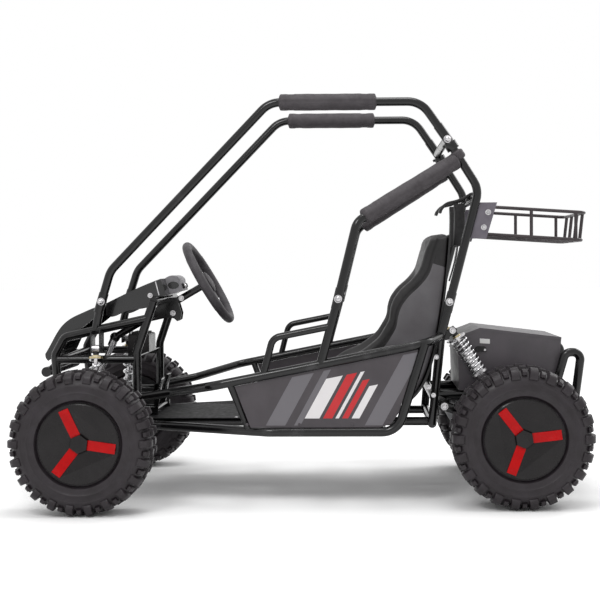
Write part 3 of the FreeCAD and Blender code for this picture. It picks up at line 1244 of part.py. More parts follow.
def export():
    """Stop on any failed object or bad shape; then write one STEP file per sub-part."""
    doc.recompute()
    for thing in doc.Objects:
        if "Invalid" in thing.State or "Error" in thing.State:
            raise RuntimeError("failed object: %s %s" % (thing.Name, thing.State))
    for name, thing in NODES:
        if thing.Shape.isNull() or not thing.Shape.isValid() or not thing.Shape.Solids:
            raise RuntimeError("bad shape: %s" % name)
    os.makedirs("parts", exist_ok=True)
    for name, thing in NODES:
        thing.Shape.exportStep("parts/%s.step" % name)
        box = thing.Shape.BoundBox
        print("%-20s solids %d  volume %.0f  x %.0f..%.0f y %.0f..%.0f z %.0f..%.0f" % (
            name, len(thing.Shape.Solids), thing.Shape.Volume, box.XMin, box.XMax, box.YMin, box.YMax,
            box.ZMin, box.ZMax))


build()
export()
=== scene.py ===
"""Off-road kart: materials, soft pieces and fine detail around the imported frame.

Metres, +X forward, +Y to the driver's left, +Z up, the ground at Z = 0.
"""

import math

import bmesh
import bpy
from mathutils import Matrix, Vector


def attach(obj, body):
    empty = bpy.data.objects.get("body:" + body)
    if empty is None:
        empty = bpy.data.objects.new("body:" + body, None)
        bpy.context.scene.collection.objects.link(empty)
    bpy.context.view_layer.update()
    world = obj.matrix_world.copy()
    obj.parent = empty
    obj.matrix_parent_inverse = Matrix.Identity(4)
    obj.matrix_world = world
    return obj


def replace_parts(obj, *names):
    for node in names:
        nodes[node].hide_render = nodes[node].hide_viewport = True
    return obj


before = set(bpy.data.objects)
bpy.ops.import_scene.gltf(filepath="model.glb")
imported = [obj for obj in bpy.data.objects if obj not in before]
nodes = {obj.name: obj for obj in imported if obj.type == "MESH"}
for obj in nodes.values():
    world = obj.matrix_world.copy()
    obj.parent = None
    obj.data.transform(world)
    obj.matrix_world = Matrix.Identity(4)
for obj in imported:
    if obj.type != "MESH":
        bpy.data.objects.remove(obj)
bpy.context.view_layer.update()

# Stage: a pale floor out to the horizon and white air around it. Both are white to the eye and
# in reflections, and plainer as light, so a colour on the kart renders about as it is written.
# The camera stands level with the seat on the kart's left.


def linear(hex_colour):
    """Linear RGBA from an sRGB hex string."""
    channels = [int(hex_colour[i:i + 2], 16) / 255 for i in (1, 3, 5)]
    return tuple(c / 12.92 if c <= 0.04045 else ((c + 0.055) / 1.055) ** 2.4 for c in channels) + (1.0,)


def put(tree, kind, inputs=None, **settings):
    """Add one shader node; settings are its own options, inputs are values or sockets to link."""
    item = tree.nodes.new("ShaderNode" + kind)
    for name, value in settings.items():
        setattr(item, name, value)
    for key, value in (inputs or {}).items():
        if isinstance(value, bpy.types.NodeSocket):
            tree.links.new(value, item.inputs[key])
        else:
            item.inputs[key].default_value = value
    return item


def seen_or_mirrored(tree):
    """1 for what the camera, a reflection or a glass sees, and 0 for light on a surface."""
    rays = put(tree, "LightPath").outputs
    both = put(tree, "Math", {0: rays["Is Camera Ray"], 1: rays["Is Glossy Ray"]}, operation="ADD")
    return put(tree, "Math", {0: both.outputs[0], 1: rays["Is Transmission Ray"]}, operation="ADD").outputs[0]


def material(name, **sockets):
    """A Principled material with values on its sockets; returns the material, tree and shader."""
    made = bpy.data.materials.new(name)
    made.use_nodes = True
    tree = made.node_tree
    shader = tree.nodes["Principled BSDF"]
    for key, value in sockets.items():
        shader.inputs[key.replace("_", " ")].default_value = value
    return made, tree, shader


# White vinyl: its glow makes up what the plain light leaves short of white, and fades close to the kart
# by ambient occlusion, so that the lamps' shadow stays and a painted shadow darkens the floor under it.
shadow_reach = 0.5
shadow_depth = 1.6
full_glow = 0.46
floor_paint, tree, shader = material("Matt pale studio floor", Base_Color=linear("#f4f4f4"), Roughness=0.9,
                                     Specular_IOR_Level=0.1, Emission_Color=linear("#ffffff"))
# Ambient occlusion dims the floor's glow near the kart: a painted shadow under it.
open_air = put(tree, "AmbientOcclusion", {"Distance": shadow_reach}, samples=12).outputs["AO"]
painted_shadow = put(tree, "Math", {0: open_air, 1: shadow_depth}, operation="POWER").outputs[0]
glow = put(tree, "Math", {0: seen_or_mirrored(tree), 1: painted_shadow}, operation="MULTIPLY").outputs[0]
glow = put(tree, "Math", {0: glow, 1: full_glow}, operation="MULTIPLY").outputs[0]
tree.links.new(glow, shader.inputs["Emission Strength"])
far = 30
floor_mesh = bpy.data.meshes.new("studio_floor")
floor_mesh.from_pydata([(-far, -far, 0), (far, -far, 0), (far, far, 0), (-far, far, 0)], [], [(0, 1, 2, 3)])
floor = bpy.data.objects.new("studio_floor", floor_mesh)
bpy.context.scene.collection.objects.link(floor)
floor_mesh.materials.append(floor_paint)

world = bpy.data.worlds.new("studio_air")
world.use_nodes = True
bpy.context.scene.world = world
air = world.node_tree.nodes["Background"]
air_as_light = 0.62
level = put(world.node_tree, "MapRange",
            {"Value": seen_or_mirrored(world.node_tree), "To Min": air_as_light, "To Max": 1.0})
air.inputs["Color"].default_value = (1, 1, 1, 1)
world.node_tree.links.new(level.outputs["Result"], air.inputs["Strength"])

for name, place, aim, size, power in (
    ("key_softbox", (1.2, 3.0, 3.4), (0.0, 0.0, 0.4), 1.2, 46),
    ("top_softbox", (-0.3, 0.4, 3.8), (0.0, 0.0, 0.0), 1.5, 36),
    ("rear_softbox", (-2.6, -1.6, 2.6), (0.0, 0.0, 0.5), 1.4, 28),
):
    lamp = bpy.data.lights.new(name, "AREA")
    lamp.size = size
    lamp.energy = power
    box_light = bpy.data.objects.new(name, lamp)
    box_light.location = place
    box_light.rotation_euler = (Vector(aim) - Vector(place)).to_track_quat("-Z", "Y").to_euler()
    bpy.context.scene.collection.objects.link(box_light)

lens = bpy.data.cameras.new("photo_camera")
lens.sensor_width = 36
lens.lens = 73.9
lens.shift_x = -0.057
lens.shift_y = -0.030
camera = bpy.data.objects.new("photo_camera", lens)
camera.location = (-0.1535, 3.867, 0.696)
camera.rotation_euler = (math.radians(90 - 0.8), math.radians(0.26), math.radians(180 + 1.2))
bpy.context.scene.collection.objects.link(camera)
bpy.context.scene.camera = camera
bpy.context.scene.view_settings.view_transform = "Standard"

# Welded frame, cage, bumpers and suspension arms: bent steel tube, welded in jigs and sprayed
# with gloss black powder coat, then baked. The tubes are CAD nodes and get only their finish.


def finish(name, dark, light, patch, rough, grain, depth, **sockets):
    """Two close shades in patches, an uneven sheen and a fine grain; sizes in millimetres."""
    made, tree, shader = material(name, **sockets)
    where = put(tree, "TexCoord").outputs["Object"]
    clouds = put(tree, "TexNoise", {"Vector": where, "Scale": 1000 / patch, "Detail": 4.0})
    shades = put(tree, "ValToRGB", {"Fac": clouds.outputs["Fac"]})
    for stop, place, colour in zip(shades.color_ramp.elements, (0.35, 0.65), (dark, light)):
        stop.position = place
        stop.color = linear(colour)
    tree.links.new(shades.outputs["Color"], shader.inputs["Base Color"])
    wear = put(tree, "TexNoise", {"Vector": where, "Scale": 3000 / patch, "Detail": 4.0})
    sheen = put(tree, "MapRange", {"Value": wear.outputs["Fac"], "From Min": 0.3, "From Max": 0.7,
                                   "To Min": rough[0], "To Max": rough[1]})
    tree.links.new(sheen.outputs["Result"], shader.inputs["Roughness"])
    fine = put(tree, "TexNoise", {"Vector": where, "Scale": 1000 / grain, "Detail": 3.0})
    bump = put(tree, "Bump", {"Height": fine.outputs["Fac"], "Distance": depth / 1000, "Strength": 0.5})
    tree.links.new(bump.outputs["Normal"], shader.inputs["Normal"])
    return made


def dress(skin, *names):
    """Give CAD nodes a finish."""
    for name in names:
        for place in nodes[name].material_slots:
            place.material = skin


# Powder coat flows as it bakes: a deep black with a faint orange peel about 3 mm across, which
# breaks each highlight into a slightly wavering streak. Scuffs show as paler specks.
powder_coat = finish("Gloss black powder coat on steel", "#080809", "#100f10", 90, (0.13, 0.24), 3, 0.08,
                     Specular_IOR_Level=0.42)
coat_colour = powder_coat.node_tree.nodes["Principled BSDF"].inputs["Base Color"]
scuff = coat_colour.links[0].from_node.color_ramp.elements.new(0.80)
scuff.color = linear("#3a393b")
dress(powder_coat, "front_frame", "front_crossbars", "mid_rails", "pivot_rails", "side_frames", "main_frame",
      "rear_frame", "roll_hoop", "cage_bars", "side_bars", "seat_rails", "front_bumper", "rear_bumper",
      "swing_arm", "upper_wishbones", "lower_wishbones")

# Cage joints and brackets: each tube slips into a sleeve and is held by a bolt with a bright
# cap nut outside and a hex head inside. The hoop's upper joints have a dark clamp collar and a
# short foam wrap above it.

sides = ((1, "left"), (-1, "right"))


def along(point, direction):
    """Placement at a point with its Z axis along a direction."""
    return Matrix.Translation(point) @ Vector(direction).to_track_quat("Z", "Y").to_matrix().to_4x4()


def round_point(r, turn, z=0.0):
    """Point at a radius and a turn about the Z axis."""
    return Vector((r * math.cos(turn), r * math.sin(turn), z))


def bridge(bm, rings, open_rings=False, open_ends=False):
    """Quads between neighbouring rings of vertices, and a flat face over each end; returns the quads."""
    quads = []
    for ring, following in zip(rings, rings[1:]):
        for i in range(len(ring) - open_rings):
            j = (i + 1) % len(ring)
            quads.append(bm.faces.new((ring[i], following[i], following[j], ring[j])))
    if not open_ends:
        bm.faces.new(rings[0][::-1])
        bm.faces.new(rings[-1])
    return quads


def lathe(bm, outline, place, steps=28, loop=False):
    """Turn an (r, z) outline about a placement's Z axis."""
    rings = [[bm.verts.new(place @ round_point(r, 2 * math.pi * step / steps, z)) for r, z in outline]
             for step in range(steps)]
    bridge(bm, rings + rings[:1], open_rings=not loop, open_ends=True)


def piece(name, bm, skin, body="chassis", crease=40):
    """Turn built geometry into a piece that rides on a body."""
    bmesh.ops.remove_doubles(bm, verts=bm.verts, dist=1e-6)
    bmesh.ops.recalc_face_normals(bm, faces=bm.faces)
    mesh = bpy.data.meshes.new(name)
    bm.to_mesh(mesh)
    bm.free()
    mesh.materials.append(skin)
    mesh.shade_smooth()
    mesh.set_sharp_from_angle(angle=math.radians(crease))
    made = bpy.data.objects.new(name, mesh)
    bpy.context.scene.collection.objects.link(made)
    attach(made, body)
    return made


def outward(points):
    """Placements that face outward at the left side's points, then at the right side's."""
    return [along((x, side * y, z), (0, side, 0)) for side, word in sides for x, y, z in points]


def hex_bolt(bm, place, flats=0.013):
    """Hex head with its chamfer on a round washer."""
    r = flats / 1.732
    lathe(bm, [(0, 0), (flats * 0.85, 0), (flats * 0.85, 0.0013), (0, 0.0013)], place)
    lathe(bm, [(0, 0.001), (r, 0.001), (r, 0.0065), (r * 0.86, 0.0078), (0, 0.0078)], place, steps=6)


def cap_nut(bm, place, radius=0.0095):
    """Domed cap nut on a washer."""
    dome = [(radius * 0.92 * math.cos(a * math.pi / 12), 0.006 + radius * 0.75 * math.sin(a * math.pi / 12))
            for a in range(7)]
    lathe(bm, [(0, 0), (radius * 1.18, 0), (radius * 1.18, 0.0015), (0, 0.0015)], place)
    lathe(bm, [(0, 0.001), (radius, 0.001), (radius, 0.006)] + dome, place)


# Zinc plate is a thin bright metal skin: bluish grey, sharp glints, a little dulled in patches.
zinc = finish("Bright zinc-plated steel", "#a9a8ab", "#dcdadb", 16, (0.18, 0.36), 2, 0.02, Metallic=1.0)


def bolts(name, places, *flats, body="chassis"):
    """Zinc hex heads as one piece; their widths over flats are used in turn."""
    bm = bmesh.new()
    for index, place in enumerate(places):
        hex_bolt(bm, place, flats[index % len(flats)])
    return piece(name, bm, zinc, body)


sleeve_radius = 0.0143
joints = ((0.6145, 0.2179, 0.590), (-0.0916, 0.3920, 0.600), (-0.4145, 0.2500, 0.586), (-0.4105, 0.2430, 1.062))
fasteners = bmesh.new()
for side, word in sides:
    for x, y, z in joints:
        cap_nut(fasteners, along((x, side * (y + sleeve_radius), z), (0, side, 0)))
        hex_bolt(fasteners, along((x, side * (y - sleeve_radius), z), (0, -side, 0)))
piece("cage_joint_bolts", fasteners, zinc)

bolts("frame_bracket_bolts", outward([(-0.376, 0.2628, 0.425), (-0.353, 0.2628, 0.337), (-0.367, 0.2628, 0.313),
                                      (-0.402, 0.2220, 0.275), (-0.427, 0.2205, 0.500), (-0.521, 0.2205, 0.353)]),
      0.008, 0.008, 0.008, 0.013, 0.011, 0.011)

hoop_lean = Vector((-0.528, 0, -0.849))
hoop_joint = Vector((-0.4105, 0.243, 1.063))
collar = [(0.0132, 0.012), (0.0182, 0.012), (0.0190, 0.013), (0.0190, 0.035), (0.0182, 0.036), (0.0132, 0.036)]
collars = bmesh.new()
for side, word in sides:
    joint = Vector((hoop_joint.x, side * hoop_joint.y, hoop_joint.z))
    lathe(collars, collar, along(joint, hoop_lean), loop=True)
    hex_bolt(collars, along(joint + hoop_lean * 0.024 + Vector((0.0185, 0, 0)), (0.85, 0, -0.528)), 0.008)
piece("hoop_clamp_collars", collars, powder_coat)

# Foam pads: closed-cell foam tube slit along its length, slipped over the cage bars and entry
# bars with the slit turned inward. Slightly uneven, with rounded ends and a pressed band near
# each end.


def relief(skin, pattern, inputs, output, depth, strength, **settings):
    """Press a regular pattern, depth in metres, into a finish over its own fine grain."""
    tree = skin.node_tree
    normal = tree.nodes["Principled BSDF"].inputs["Normal"]
    where = put(tree, "TexCoord").outputs["Object"]
    height = put(tree, pattern, {"Vector": where, **inputs}, **settings).outputs[output]
    pressed = put(tree, "Bump", {"Height": height, "Distance": depth, "Strength": strength,
                                 "Normal": normal.links[0].from_socket})
    tree.links.new(pressed.outputs["Normal"], normal)


def smooth_run(points, steps=8):
    """Points on a smooth curve through the given ones."""
    guide = [Vector(p) for p in points]
    guide = [guide[0] * 2 - guide[1]] + guide + [guide[-1] * 2 - guide[-2]]
    run = []
    for a, b, c, d in zip(guide, guide[1:], guide[2:], guide[3:]):
        for step in range(steps):
            t = step / steps
            run.append(0.5 * (2 * b + (c - a) * t + (2 * a - 5 * b + 4 * c - d) * t * t
                              + (3 * b - a - 3 * c + d) * t ** 3))
    run.append(guide[-2])
    return run


def heading(run, index):
    """The way a run of points goes at one of them."""
    return (run[min(index + 1, len(run) - 1)] - run[max(index - 1, 0)]).normalized()


def sleeve(bm, run, radius, steps):
    """Closed round body along a run of points; radius is a function of (share, turn)."""
    rings = []
    for index, point in enumerate(run):
        ahead = heading(run, index)
        side = ahead.cross(Vector((0, 0, 1))).normalized()
        up = side.cross(ahead)
        ring = []
        for step in range(steps):
            turn = 2 * math.pi * step / steps
            r = radius(index / (len(run) - 1), turn)
            ring.append(bm.verts.new(point + side * (r * math.cos(turn)) + up * (r * math.sin(turn))))
        rings.append(ring)
    bridge(bm, rings)


# Cut foam drinks the light: dull charcoal, no clear highlight, with cells of about 1 mm.
cell = 1.1
foam = finish("Charcoal closed-cell foam", "#3e3a3d", "#494548", 30, (0.62, 0.78), 26, 0.22,
              Specular_IOR_Level=0.45)
relief(foam, "TexVoronoi", {"Scale": 1000 / cell}, "Distance", 0.0003, 0.5)


def foam_pad(name, near_run, half):
    """A pad on each side: rounded ends, soft lumps, a seam facing inward; returns the left one."""
    inside = 0.0132
    end_round = 0.007
    band_place = 0.035
    length = sum((b - a).length for a, b in zip(near_run, near_run[1:]))
    pads = []
    for side, word in sides:
        run = [Vector((p.x, side * p.y, p.z)) for p in near_run]

        def radius(share, turn):
            roll = min(1.0, min(share, 1 - share) * length / end_round)
            dome = math.sqrt(max(0.0, 1 - (1 - roll) ** 2))
            lump = math.sin(share * 23 + side) * math.sin(share * 11 + turn * 2) * 0.0004
            inward = math.pi if side > 0 else 0
            seam = 0.0018 * math.exp(-((turn - inward) / 0.06) ** 2)
            band = 0.0010 * sum(math.exp(-((share * length - s) / 0.011) ** 6)
                                for s in (band_place, length - band_place))
            return inside + (half - inside) * dome + lump - seam - band

        bm = bmesh.new()
        sleeve(bm, run, radius, 40)
        pads.append(piece("%s_%s" % (name, word), bm, foam, crease=60))
    return pads[0]


top_run = [Vector((x / 1000, 0.235, 1.175)) for x in range(-204, 85, 4)]
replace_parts(foam_pad("cage_pad", top_run, 0.0245), "cage_pads")
root = Vector((-0.4479, 0.243, 1.006))
corner = Vector((-0.145, 0.385, 0.817))
ahead = (corner - root).normalized()
span = (corner - root).length
entry_run = [root + ahead * (0.0135 + (span - 0.038) * i / 72) for i in range(73)]
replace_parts(foam_pad("entry_pad", entry_run, 0.0245), "side_bar_pads")
foam_pad("hoop_wrap", [hoop_joint + hoop_lean * (0.042 + 0.0012 * i) for i in range(26)], 0.0215)

# Side panels and floor: moulded charcoal plastic panels pushed into the side frames, with cut
# vinyl film bars in a plain slanted layout, and a folded black steel floor screwed to the rails.


def turned(name, outline, places, skin, body="chassis", steps=28):
    """Equal turned parts, one at each placement, as one piece."""
    bm = bmesh.new()
    for place in places:
        lathe(bm, outline, place, steps)
    return piece(name, bm, skin, body)


def slab(bm, outline, place, low, high, soft=0.0006):
    """A flat piece from an (x, y) outline, low to high along the placement's Z, with eased edges."""
    corners = [Vector((x, y, 0)) for x, y in outline]
    middle = sum(corners, Vector()) / len(corners)
    rings = []
    for inset, z in ((soft, low), (0, low + soft), (0, high - soft), (soft, high)):
        rings.append([bm.verts.new(place @ (point + (middle - point).normalized() * inset + Vector((0, 0, z))))
                      for point in corners])
    bridge(bm, rings)


def plates(name, rows, skin, crease=40):
    """Flat parts as one piece; each row is what slab takes."""
    bm = bmesh.new()
    for row in rows:
        slab(bm, *row)
    return piece(name, bm, skin, crease=crease)


def side_face(y, side=1):
    """Placement whose X and Y run along world X and Z on a face that looks out sideways at y."""
    return Matrix(((1, 0, 0, 0), (0, 0, side, side * y), (0, 1, 0, 0), (0, 0, 0, 1)))


def slanted(x, width, low, gap, slant=0.55):
    """Corners of a bar that leans back from (x, low) up to gap below the panel's sloping top edge."""
    edge_height = 0.3929
    edge_slope = 0.1967
    corners = []
    for foot in (x, x - width):
        top = (edge_height - gap - edge_slope * (foot + low * slant)) / (1 - edge_slope * slant)
        corners.append((foot - (top - low) * slant, top))
    return [(x, low), corners[0], corners[1], (x - width, low)]


# Moulded polypropylene, spark-eroded mould: even charcoal with a fine 1 mm leather-like grain
# that turns highlights into a soft glow.
panel_skin = finish("Charcoal moulded polypropylene", "#3d383c", "#464145", 70, (0.42, 0.56), 1, 0.08)
dress(panel_skin, "side_panels")
# Rolled sheet under satin paint, dulled and scratched pale where feet rest.
floor_skin = finish("Satin black sheet steel", "#0c0c0d", "#151416", 55, (0.48, 0.7), 4, 0.05,
                    Specular_IOR_Level=0.15)
dress(floor_skin, "floor_pan")
panel_y = 0.3935
for key, film_name, colour, bars in (
    ("grey", "Pale grey vinyl film", "#68656a",
     [(0.115, 0.055, 0.242, 0.006), (0.035, 0.018, 0.242, 0.006), (-0.165, 0.050, 0.242, 0.006)]),
    ("white", "White vinyl film", "#e9e6e7",
     [(0.005, 0.042, 0.262, 0.030), (-0.082, 0.010, 0.262, 0.030), (-0.128, 0.022, 0.262, 0.075)]),
    ("red", "Red vinyl film", "#c4101a", [(-0.047, 0.026, 0.262, 0.030), (-0.101, 0.017, 0.262, 0.055)]),
):
    # Cast vinyl 0.1 mm thick, drawn 0.3 mm here to show: flat clean colour, soft even gloss.
    film = finish(film_name, colour, colour, 40, (0.30, 0.45), 9, 0.03, Coat_Weight=0.2)
    for side, word in sides:
        plates("panel_stripes_%s_%s" % (key, word),
               [(slanted(*sizes), side_face(panel_y, side), 0, 0.0003, 0.00008) for sizes in bars],
               film)
turned("panel_rivets", [(0, 0), (0.0045, 0), (0.0042, 0.0012), (0.0022, 0.002), (0, 0.0021)],
       outward([(x, panel_y, z) for x, z in ((0.168, 0.245), (0.02, 0.245), (-0.13, 0.245), (-0.232, 0.262))]),
       panel_skin, steps=16)
turned("floor_screws", [(0.0, 0.0021), (0.003, 0.0021), (0.0055, 0.0008), (0.0056, 0), (0, 0)],
       [along((x, y, 0.2391), (0, 0, 1)) for x in (-0.030, 0.220, 0.480) for y in (-0.178, 0, 0.178)],
       zinc, steps=18)

# Pedals: pressed steel pads on arms that turn on one cross shaft; ribbed rubber sleeves grip
# the feet.


def bar(x, y, half_x, half_y):
    """Corners of a rectangle about its middle."""
    return [(x - half_x, y - half_y), (x + half_x, y - half_y), (x + half_x, y + half_y), (x - half_x, y + half_y)]


dress(powder_coat, "pedals")
# Rubber from a plain mould: soft black that shows its shape by broad dim light, not by glints.
pad_rubber = finish("Moulded black rubber", "#1c1b1c", "#282627", 30, (0.55, 0.75), 2, 0.08,
                    Specular_IOR_Level=0.35)
pad_low = Vector((0.4690, 0, 0.301))
pad_top = Vector((0.4572, 0, 0.3475))
climb = (pad_top - pad_low).normalized()
face_out = Vector((-climb.z, 0, climb.x))
rib_turn = Matrix(((0, climb.x, face_out.x, 0), (1, 0, 0, 0), (0, climb.z, face_out.z, 0), (0, 0, 0, 1)))
rib_places = [Matrix.Translation(pad_low + climb * (0.004 + step * 0.0062) + Vector((0, y, 0))) @ rib_turn
              for y in (-0.070, 0.070) for step in range(7)]
plates("pedal_grips", [(bar(0, 0, 0.026, 0.0016), place, -0.001, 0.0012, 0.0004) for place in rib_places],
       pad_rubber)

# Front uprights, steering rack and rods: sand-cast aluminium housings, left bare, and turned
# steel rods under zinc. Rubber bellows close the ends of the rack.

# Sand casting, tumbled: pale matt grey with a sandy skin, only rubbed edges catch the light.
cast = finish("Sand-cast aluminium, tumbled", "#8d8d90", "#a9a9ac", 24, (0.34, 0.52), 1.5, 0.12, Metallic=1.0)
dress(cast, "knuckle_left", "knuckle_right", "rack_housing")
# Ground bar stock under zinc: brighter and straighter in its glints than the castings.
dress(zinc, "tie_rods", "rear_axle")
folds = [(0.0062, 0.0)]
for fold in range(6):
    folds += [(0.0090, 0.002 + fold * 0.0048), (0.0112, 0.0044 + fold * 0.0048)]
folds += [(0.0090, 0.0308), (0.0072, 0.0330), (0.0062, 0.0330)]
for side, word in sides:
    turned("rack_bellows_" + word, folds, [along((0.704, side * 0.1545, 0.248), (0, side, 0))],
           pad_rubber, "rack", 32)
bolts("rack_housing_bolts", [along((x, y, 0.2618), (0, 0, 1)) for x in (0.694, 0.714) for y in (-0.055, 0.055)],
      0.007)

# Shock absorbers: plated damper with a chromed rod, closed by forged eyes. The coil spring is
# chromed wire under a toothed collar, of yellow passivated zinc in front and bright at the rear.

# Chrome over drawn wire: near-white mirror that breaks into hard bright and dark coils.
chrome = finish("Chromed spring wire", "#c9c9cb", "#e6e6e7", 40, (0.10, 0.22), 3, 0.01, Metallic=1.0)
dress(chrome, "springs")
dress(zinc, "shocks")
# Yellow passivate: the zinc's shine under a thin pale brass tint.
yellow_zinc = finish("Yellow passivated zinc", "#b5a57c", "#cdbf98", 14, (0.22, 0.36), 2, 0.02, Metallic=1.0)
front_shock = ((0.626, 0.252, 0.452), (0.626, 0.280, 0.182), 0.020)
rear_shock = ((-0.427, 0.205, 0.500), (-0.521, 0.205, 0.353), 0.025)
teeth = 14
front_collars, rear_collars, bumpers = bmesh.new(), bmesh.new(), bmesh.new()
for side, word in sides:
    for (top, foot, coil), rims in ((front_shock, front_collars), (rear_shock, rear_collars)):
        head = Vector((top[0], side * top[1], top[2]))
        down = (Vector((foot[0], side * foot[1], foot[2])) - head).normalized()
        place = along(head + down * 0.0235, down)
        rim = [round_point(coil + 0.0012 * (step % 2), math.pi * step / teeth).xy for step in range(2 * teeth)]
        slab(rims, rim, place, 0, 0.0060, 0.0006)
        lathe(front_collars, [(0.007, -0.004), (0.0125, -0.004), (0.0125, 0.001), (0.007, 0.001)], place,
              loop=True)
        lathe(bumpers, [(0.0066, -0.014), (0.0088, -0.014), (0.0088, -0.005), (0.0066, -0.005)], place,
              loop=True)
piece("front_spring_collars", front_collars, yellow_zinc, crease=25)
piece("rear_spring_collars", rear_collars, zinc, crease=25)
piece("damper_bumpers", bumpers, pad_rubber)

# Tyres: black rubber, moulded with rings on the sidewalls, bevelled shoulder lugs with
# small knobs between them, and two staggered rows of blocks across the crown.

# Carbon-black rubber bloomed by use: very dark grey with brownish dust in broad patches and a
# dull satin sidewall.
rubber = finish("Black tyre rubber with a trace of dust", "#221d20", "#2c272b", 45, (0.36, 0.56), 1.4, 0.10,
                Specular_IOR_Level=0.34)


def tyre_z(z, half):
    """Widen the 145 mm section to another half width without changing its shoulders."""
    return z + (half - 0.0725) * min(1.0, z / 0.040)


def casing(bm, half, place, steps=112):
    """Turned carcass with rim guard, sidewall rings and rounded shoulders."""
    side = [(0.1062, 0.0546), (0.1128, 0.0546), (0.1170, 0.0556), (0.1200, 0.0590), (0.1218, 0.0640),
            (0.1235, 0.0664), (0.1262, 0.0668), (0.1310, 0.0672), (0.1400, 0.0688), (0.1415, 0.0700),
            (0.1440, 0.0702), (0.1455, 0.0693), (0.1560, 0.0693), (0.1600, 0.0688), (0.1612, 0.0694),
            (0.1630, 0.0690), (0.1710, 0.0655), (0.1790, 0.0600), (0.1855, 0.0520), (0.1895, 0.0420),
            (0.1920, 0.0300), (0.1935, 0.0150), (0.1940, 0.0)]
    half_loop = [(r, tyre_z(z, half)) for r, z in side]
    lathe(bm, half_loop + [(r, -z) for r, z in half_loop[-2::-1]], place, steps=steps, loop=True)


def lug(bm, stations, base, top, angle, place):
    """Rubber block over the casing: stations run (base r, base z, top r, top z) across the tread."""
    rows = []
    for r0, z0, r1, z1 in stations:
        row = []
        for along_tread, lift in ((-base, 0.0), (-top - 0.0006, 0.86), (-top + 0.0008, 1.0),
                                  (top - 0.0008, 1.0), (top + 0.0006, 0.86), (base, 0.0)):
            at = round_point(r0 + (r1 - r0) * lift, angle + along_tread / r1, z0 + (z1 - z0) * lift)
            row.append(bm.verts.new(place @ at))
        rows.append(row)
    bridge(bm, rows, open_rings=True, open_ends=True)
    bm.faces.new(rows[0])
    bm.faces.new(rows[-1][::-1])


def tread(bm, half, base, place):
    """Both shoulder rows with their knobs, and the two inner rows of blocks."""
    shoulder = [(0.1915, 0.0300, 0.1945, 0.0300), (0.1905, 0.0310, 0.2025, 0.0318),
                (0.1890, 0.0400, 0.2028, 0.0420), (0.1850, 0.0500, 0.1995, 0.0560),
                (0.1800, 0.0560, 0.1935, 0.0650), (0.1740, 0.0610, 0.1845, 0.0703),
                (0.1700, 0.0630, 0.1760, 0.0712), (0.1680, 0.0650, 0.1705, 0.0690)]
    knob = [(0.1900, 0.0395, 0.1930, 0.0400), (0.1890, 0.0400, 0.1975, 0.0430), (0.1850, 0.0500, 0.1950, 0.0560),
            (0.1810, 0.0555, 0.1900, 0.0640), (0.1790, 0.0580, 0.1820, 0.0650)]
    inner = [(0.1925, 0.0030, 0.1945, 0.0030), (0.1925, 0.0036, 0.2024, 0.0044), (0.1920, 0.0150, 0.2026, 0.0150),
             (0.1910, 0.0248, 0.2022, 0.0240), (0.1910, 0.0254, 0.1940, 0.0254)]
    blocks = 22
    pitch = 2 * math.pi / blocks
    for side, offset in ((1, 0), (-1, pitch / 2)):
        outer, between, middle = [
            [(r0, side * tyre_z(z0, half), r1, side * tyre_z(z1, half)) for r0, z0, r1, z1 in stations]
            for stations in (shoulder, knob, inner)]
        for index in range(blocks):
            turn = offset + index * pitch
            lug(bm, outer, base + 0.0015, base - 0.002, turn, place)
            lug(bm, between, 0.0085, 0.0062, turn + pitch / 2, place)
            lug(bm, middle, 0.0125, 0.0095, turn + pitch / 2, place)


axle_height = 0.203
wheels = (("front_left", 0.626, 0.428, 0.0725, 0.0115, "front_wheel_left", "front_tyre_left"),
          ("front_right", 0.626, -0.428, 0.0725, 0.0115, "front_wheel_right", "front_tyre_right"),
          ("rear_left", -0.614, 0.328, 0.090, 0.0135, "rear_wheels", "rear_tyres"),
          ("rear_right", -0.614, -0.328, 0.090, 0.0135, "rear_wheels", None))
for name, x, y, half, block, body, cad_node in wheels:
    place = along((x, y, axle_height), (0, y, 0))
    bm = bmesh.new()
    casing(bm, half, place)
    tread(bm, half, block, place)
    tyre = piece("tyre_" + name, bm, rubber, body, crease=34)
    if cad_node:
        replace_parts(tyre, cad_node)

# Rims and wheel covers: pressed steel rims in satin black, bolted to their hubs from inside,
# and moulded covers whose three facets fall to a hex cap, with gloss red blades snapped on.

# Thin satin paint over pressed steel: quiet black with a low, spread highlight.
rim_paint = finish("Satin black paint on pressed steel", "#121113", "#1c1a1c", 38, (0.34, 0.5), 3, 0.05)
dress(rim_paint, "front_rim_left", "front_rim_right", "rear_rims")
# Glass-filled nylon has a semi-gloss skin: black, with broad soft reflections on each facet.
cover_plastic = finish("Semi-gloss black moulded nylon", "#151213", "#1c191a", 55, (0.18, 0.32), 1.1, 0.04,
                       Specular_IOR_Level=0.24)
dress(cover_plastic, "front_cover_left", "front_cover_right", "rear_covers", "controller_box")
# Self-coloured ABS from a polished mould: saturated red under a thin, sharp gloss.
blade_red = finish("Gloss red moulded ABS", "#b00005", "#be0306", 30, (0.16, 0.28), 5, 0.02,
                   Specular_IOR_Level=0.12, Coat_Weight=0.08, Coat_Roughness=0.06)
dress(blade_red, "front_blades_left", "front_blades_right", "rear_blades")
valve = [(0, 0), (0.0052, 0), (0.0045, 0.010), (0.0032, 0.014), (0.0032, 0.021), (0.0038, 0.0215),
         (0.0038, 0.029), (0, 0.030)]
for name, x, y, half, block, body, cad_node in wheels:
    place = along((x, y, axle_height), (0, y, 0))
    inward = (0, -y, 0)
    bolts("wheel_nuts_" + name, [along(place @ round_point(0.046, math.pi * (0.25 + index / 2), 0.0079), inward)
                                 for index in range(4)], 0.014, body=body)
    turned("tyre_valve_" + name, valve, [along(place @ Vector((0, 0.082, 0.0078)), inward)],
           pad_rubber, body, 18)

# Drive: motor under the box rails, roller chain, toothed sprocket and drilled brake disc on the
# live axle. Chain and sprocket are oiled steel, the disc is ground bright where the pads rub.


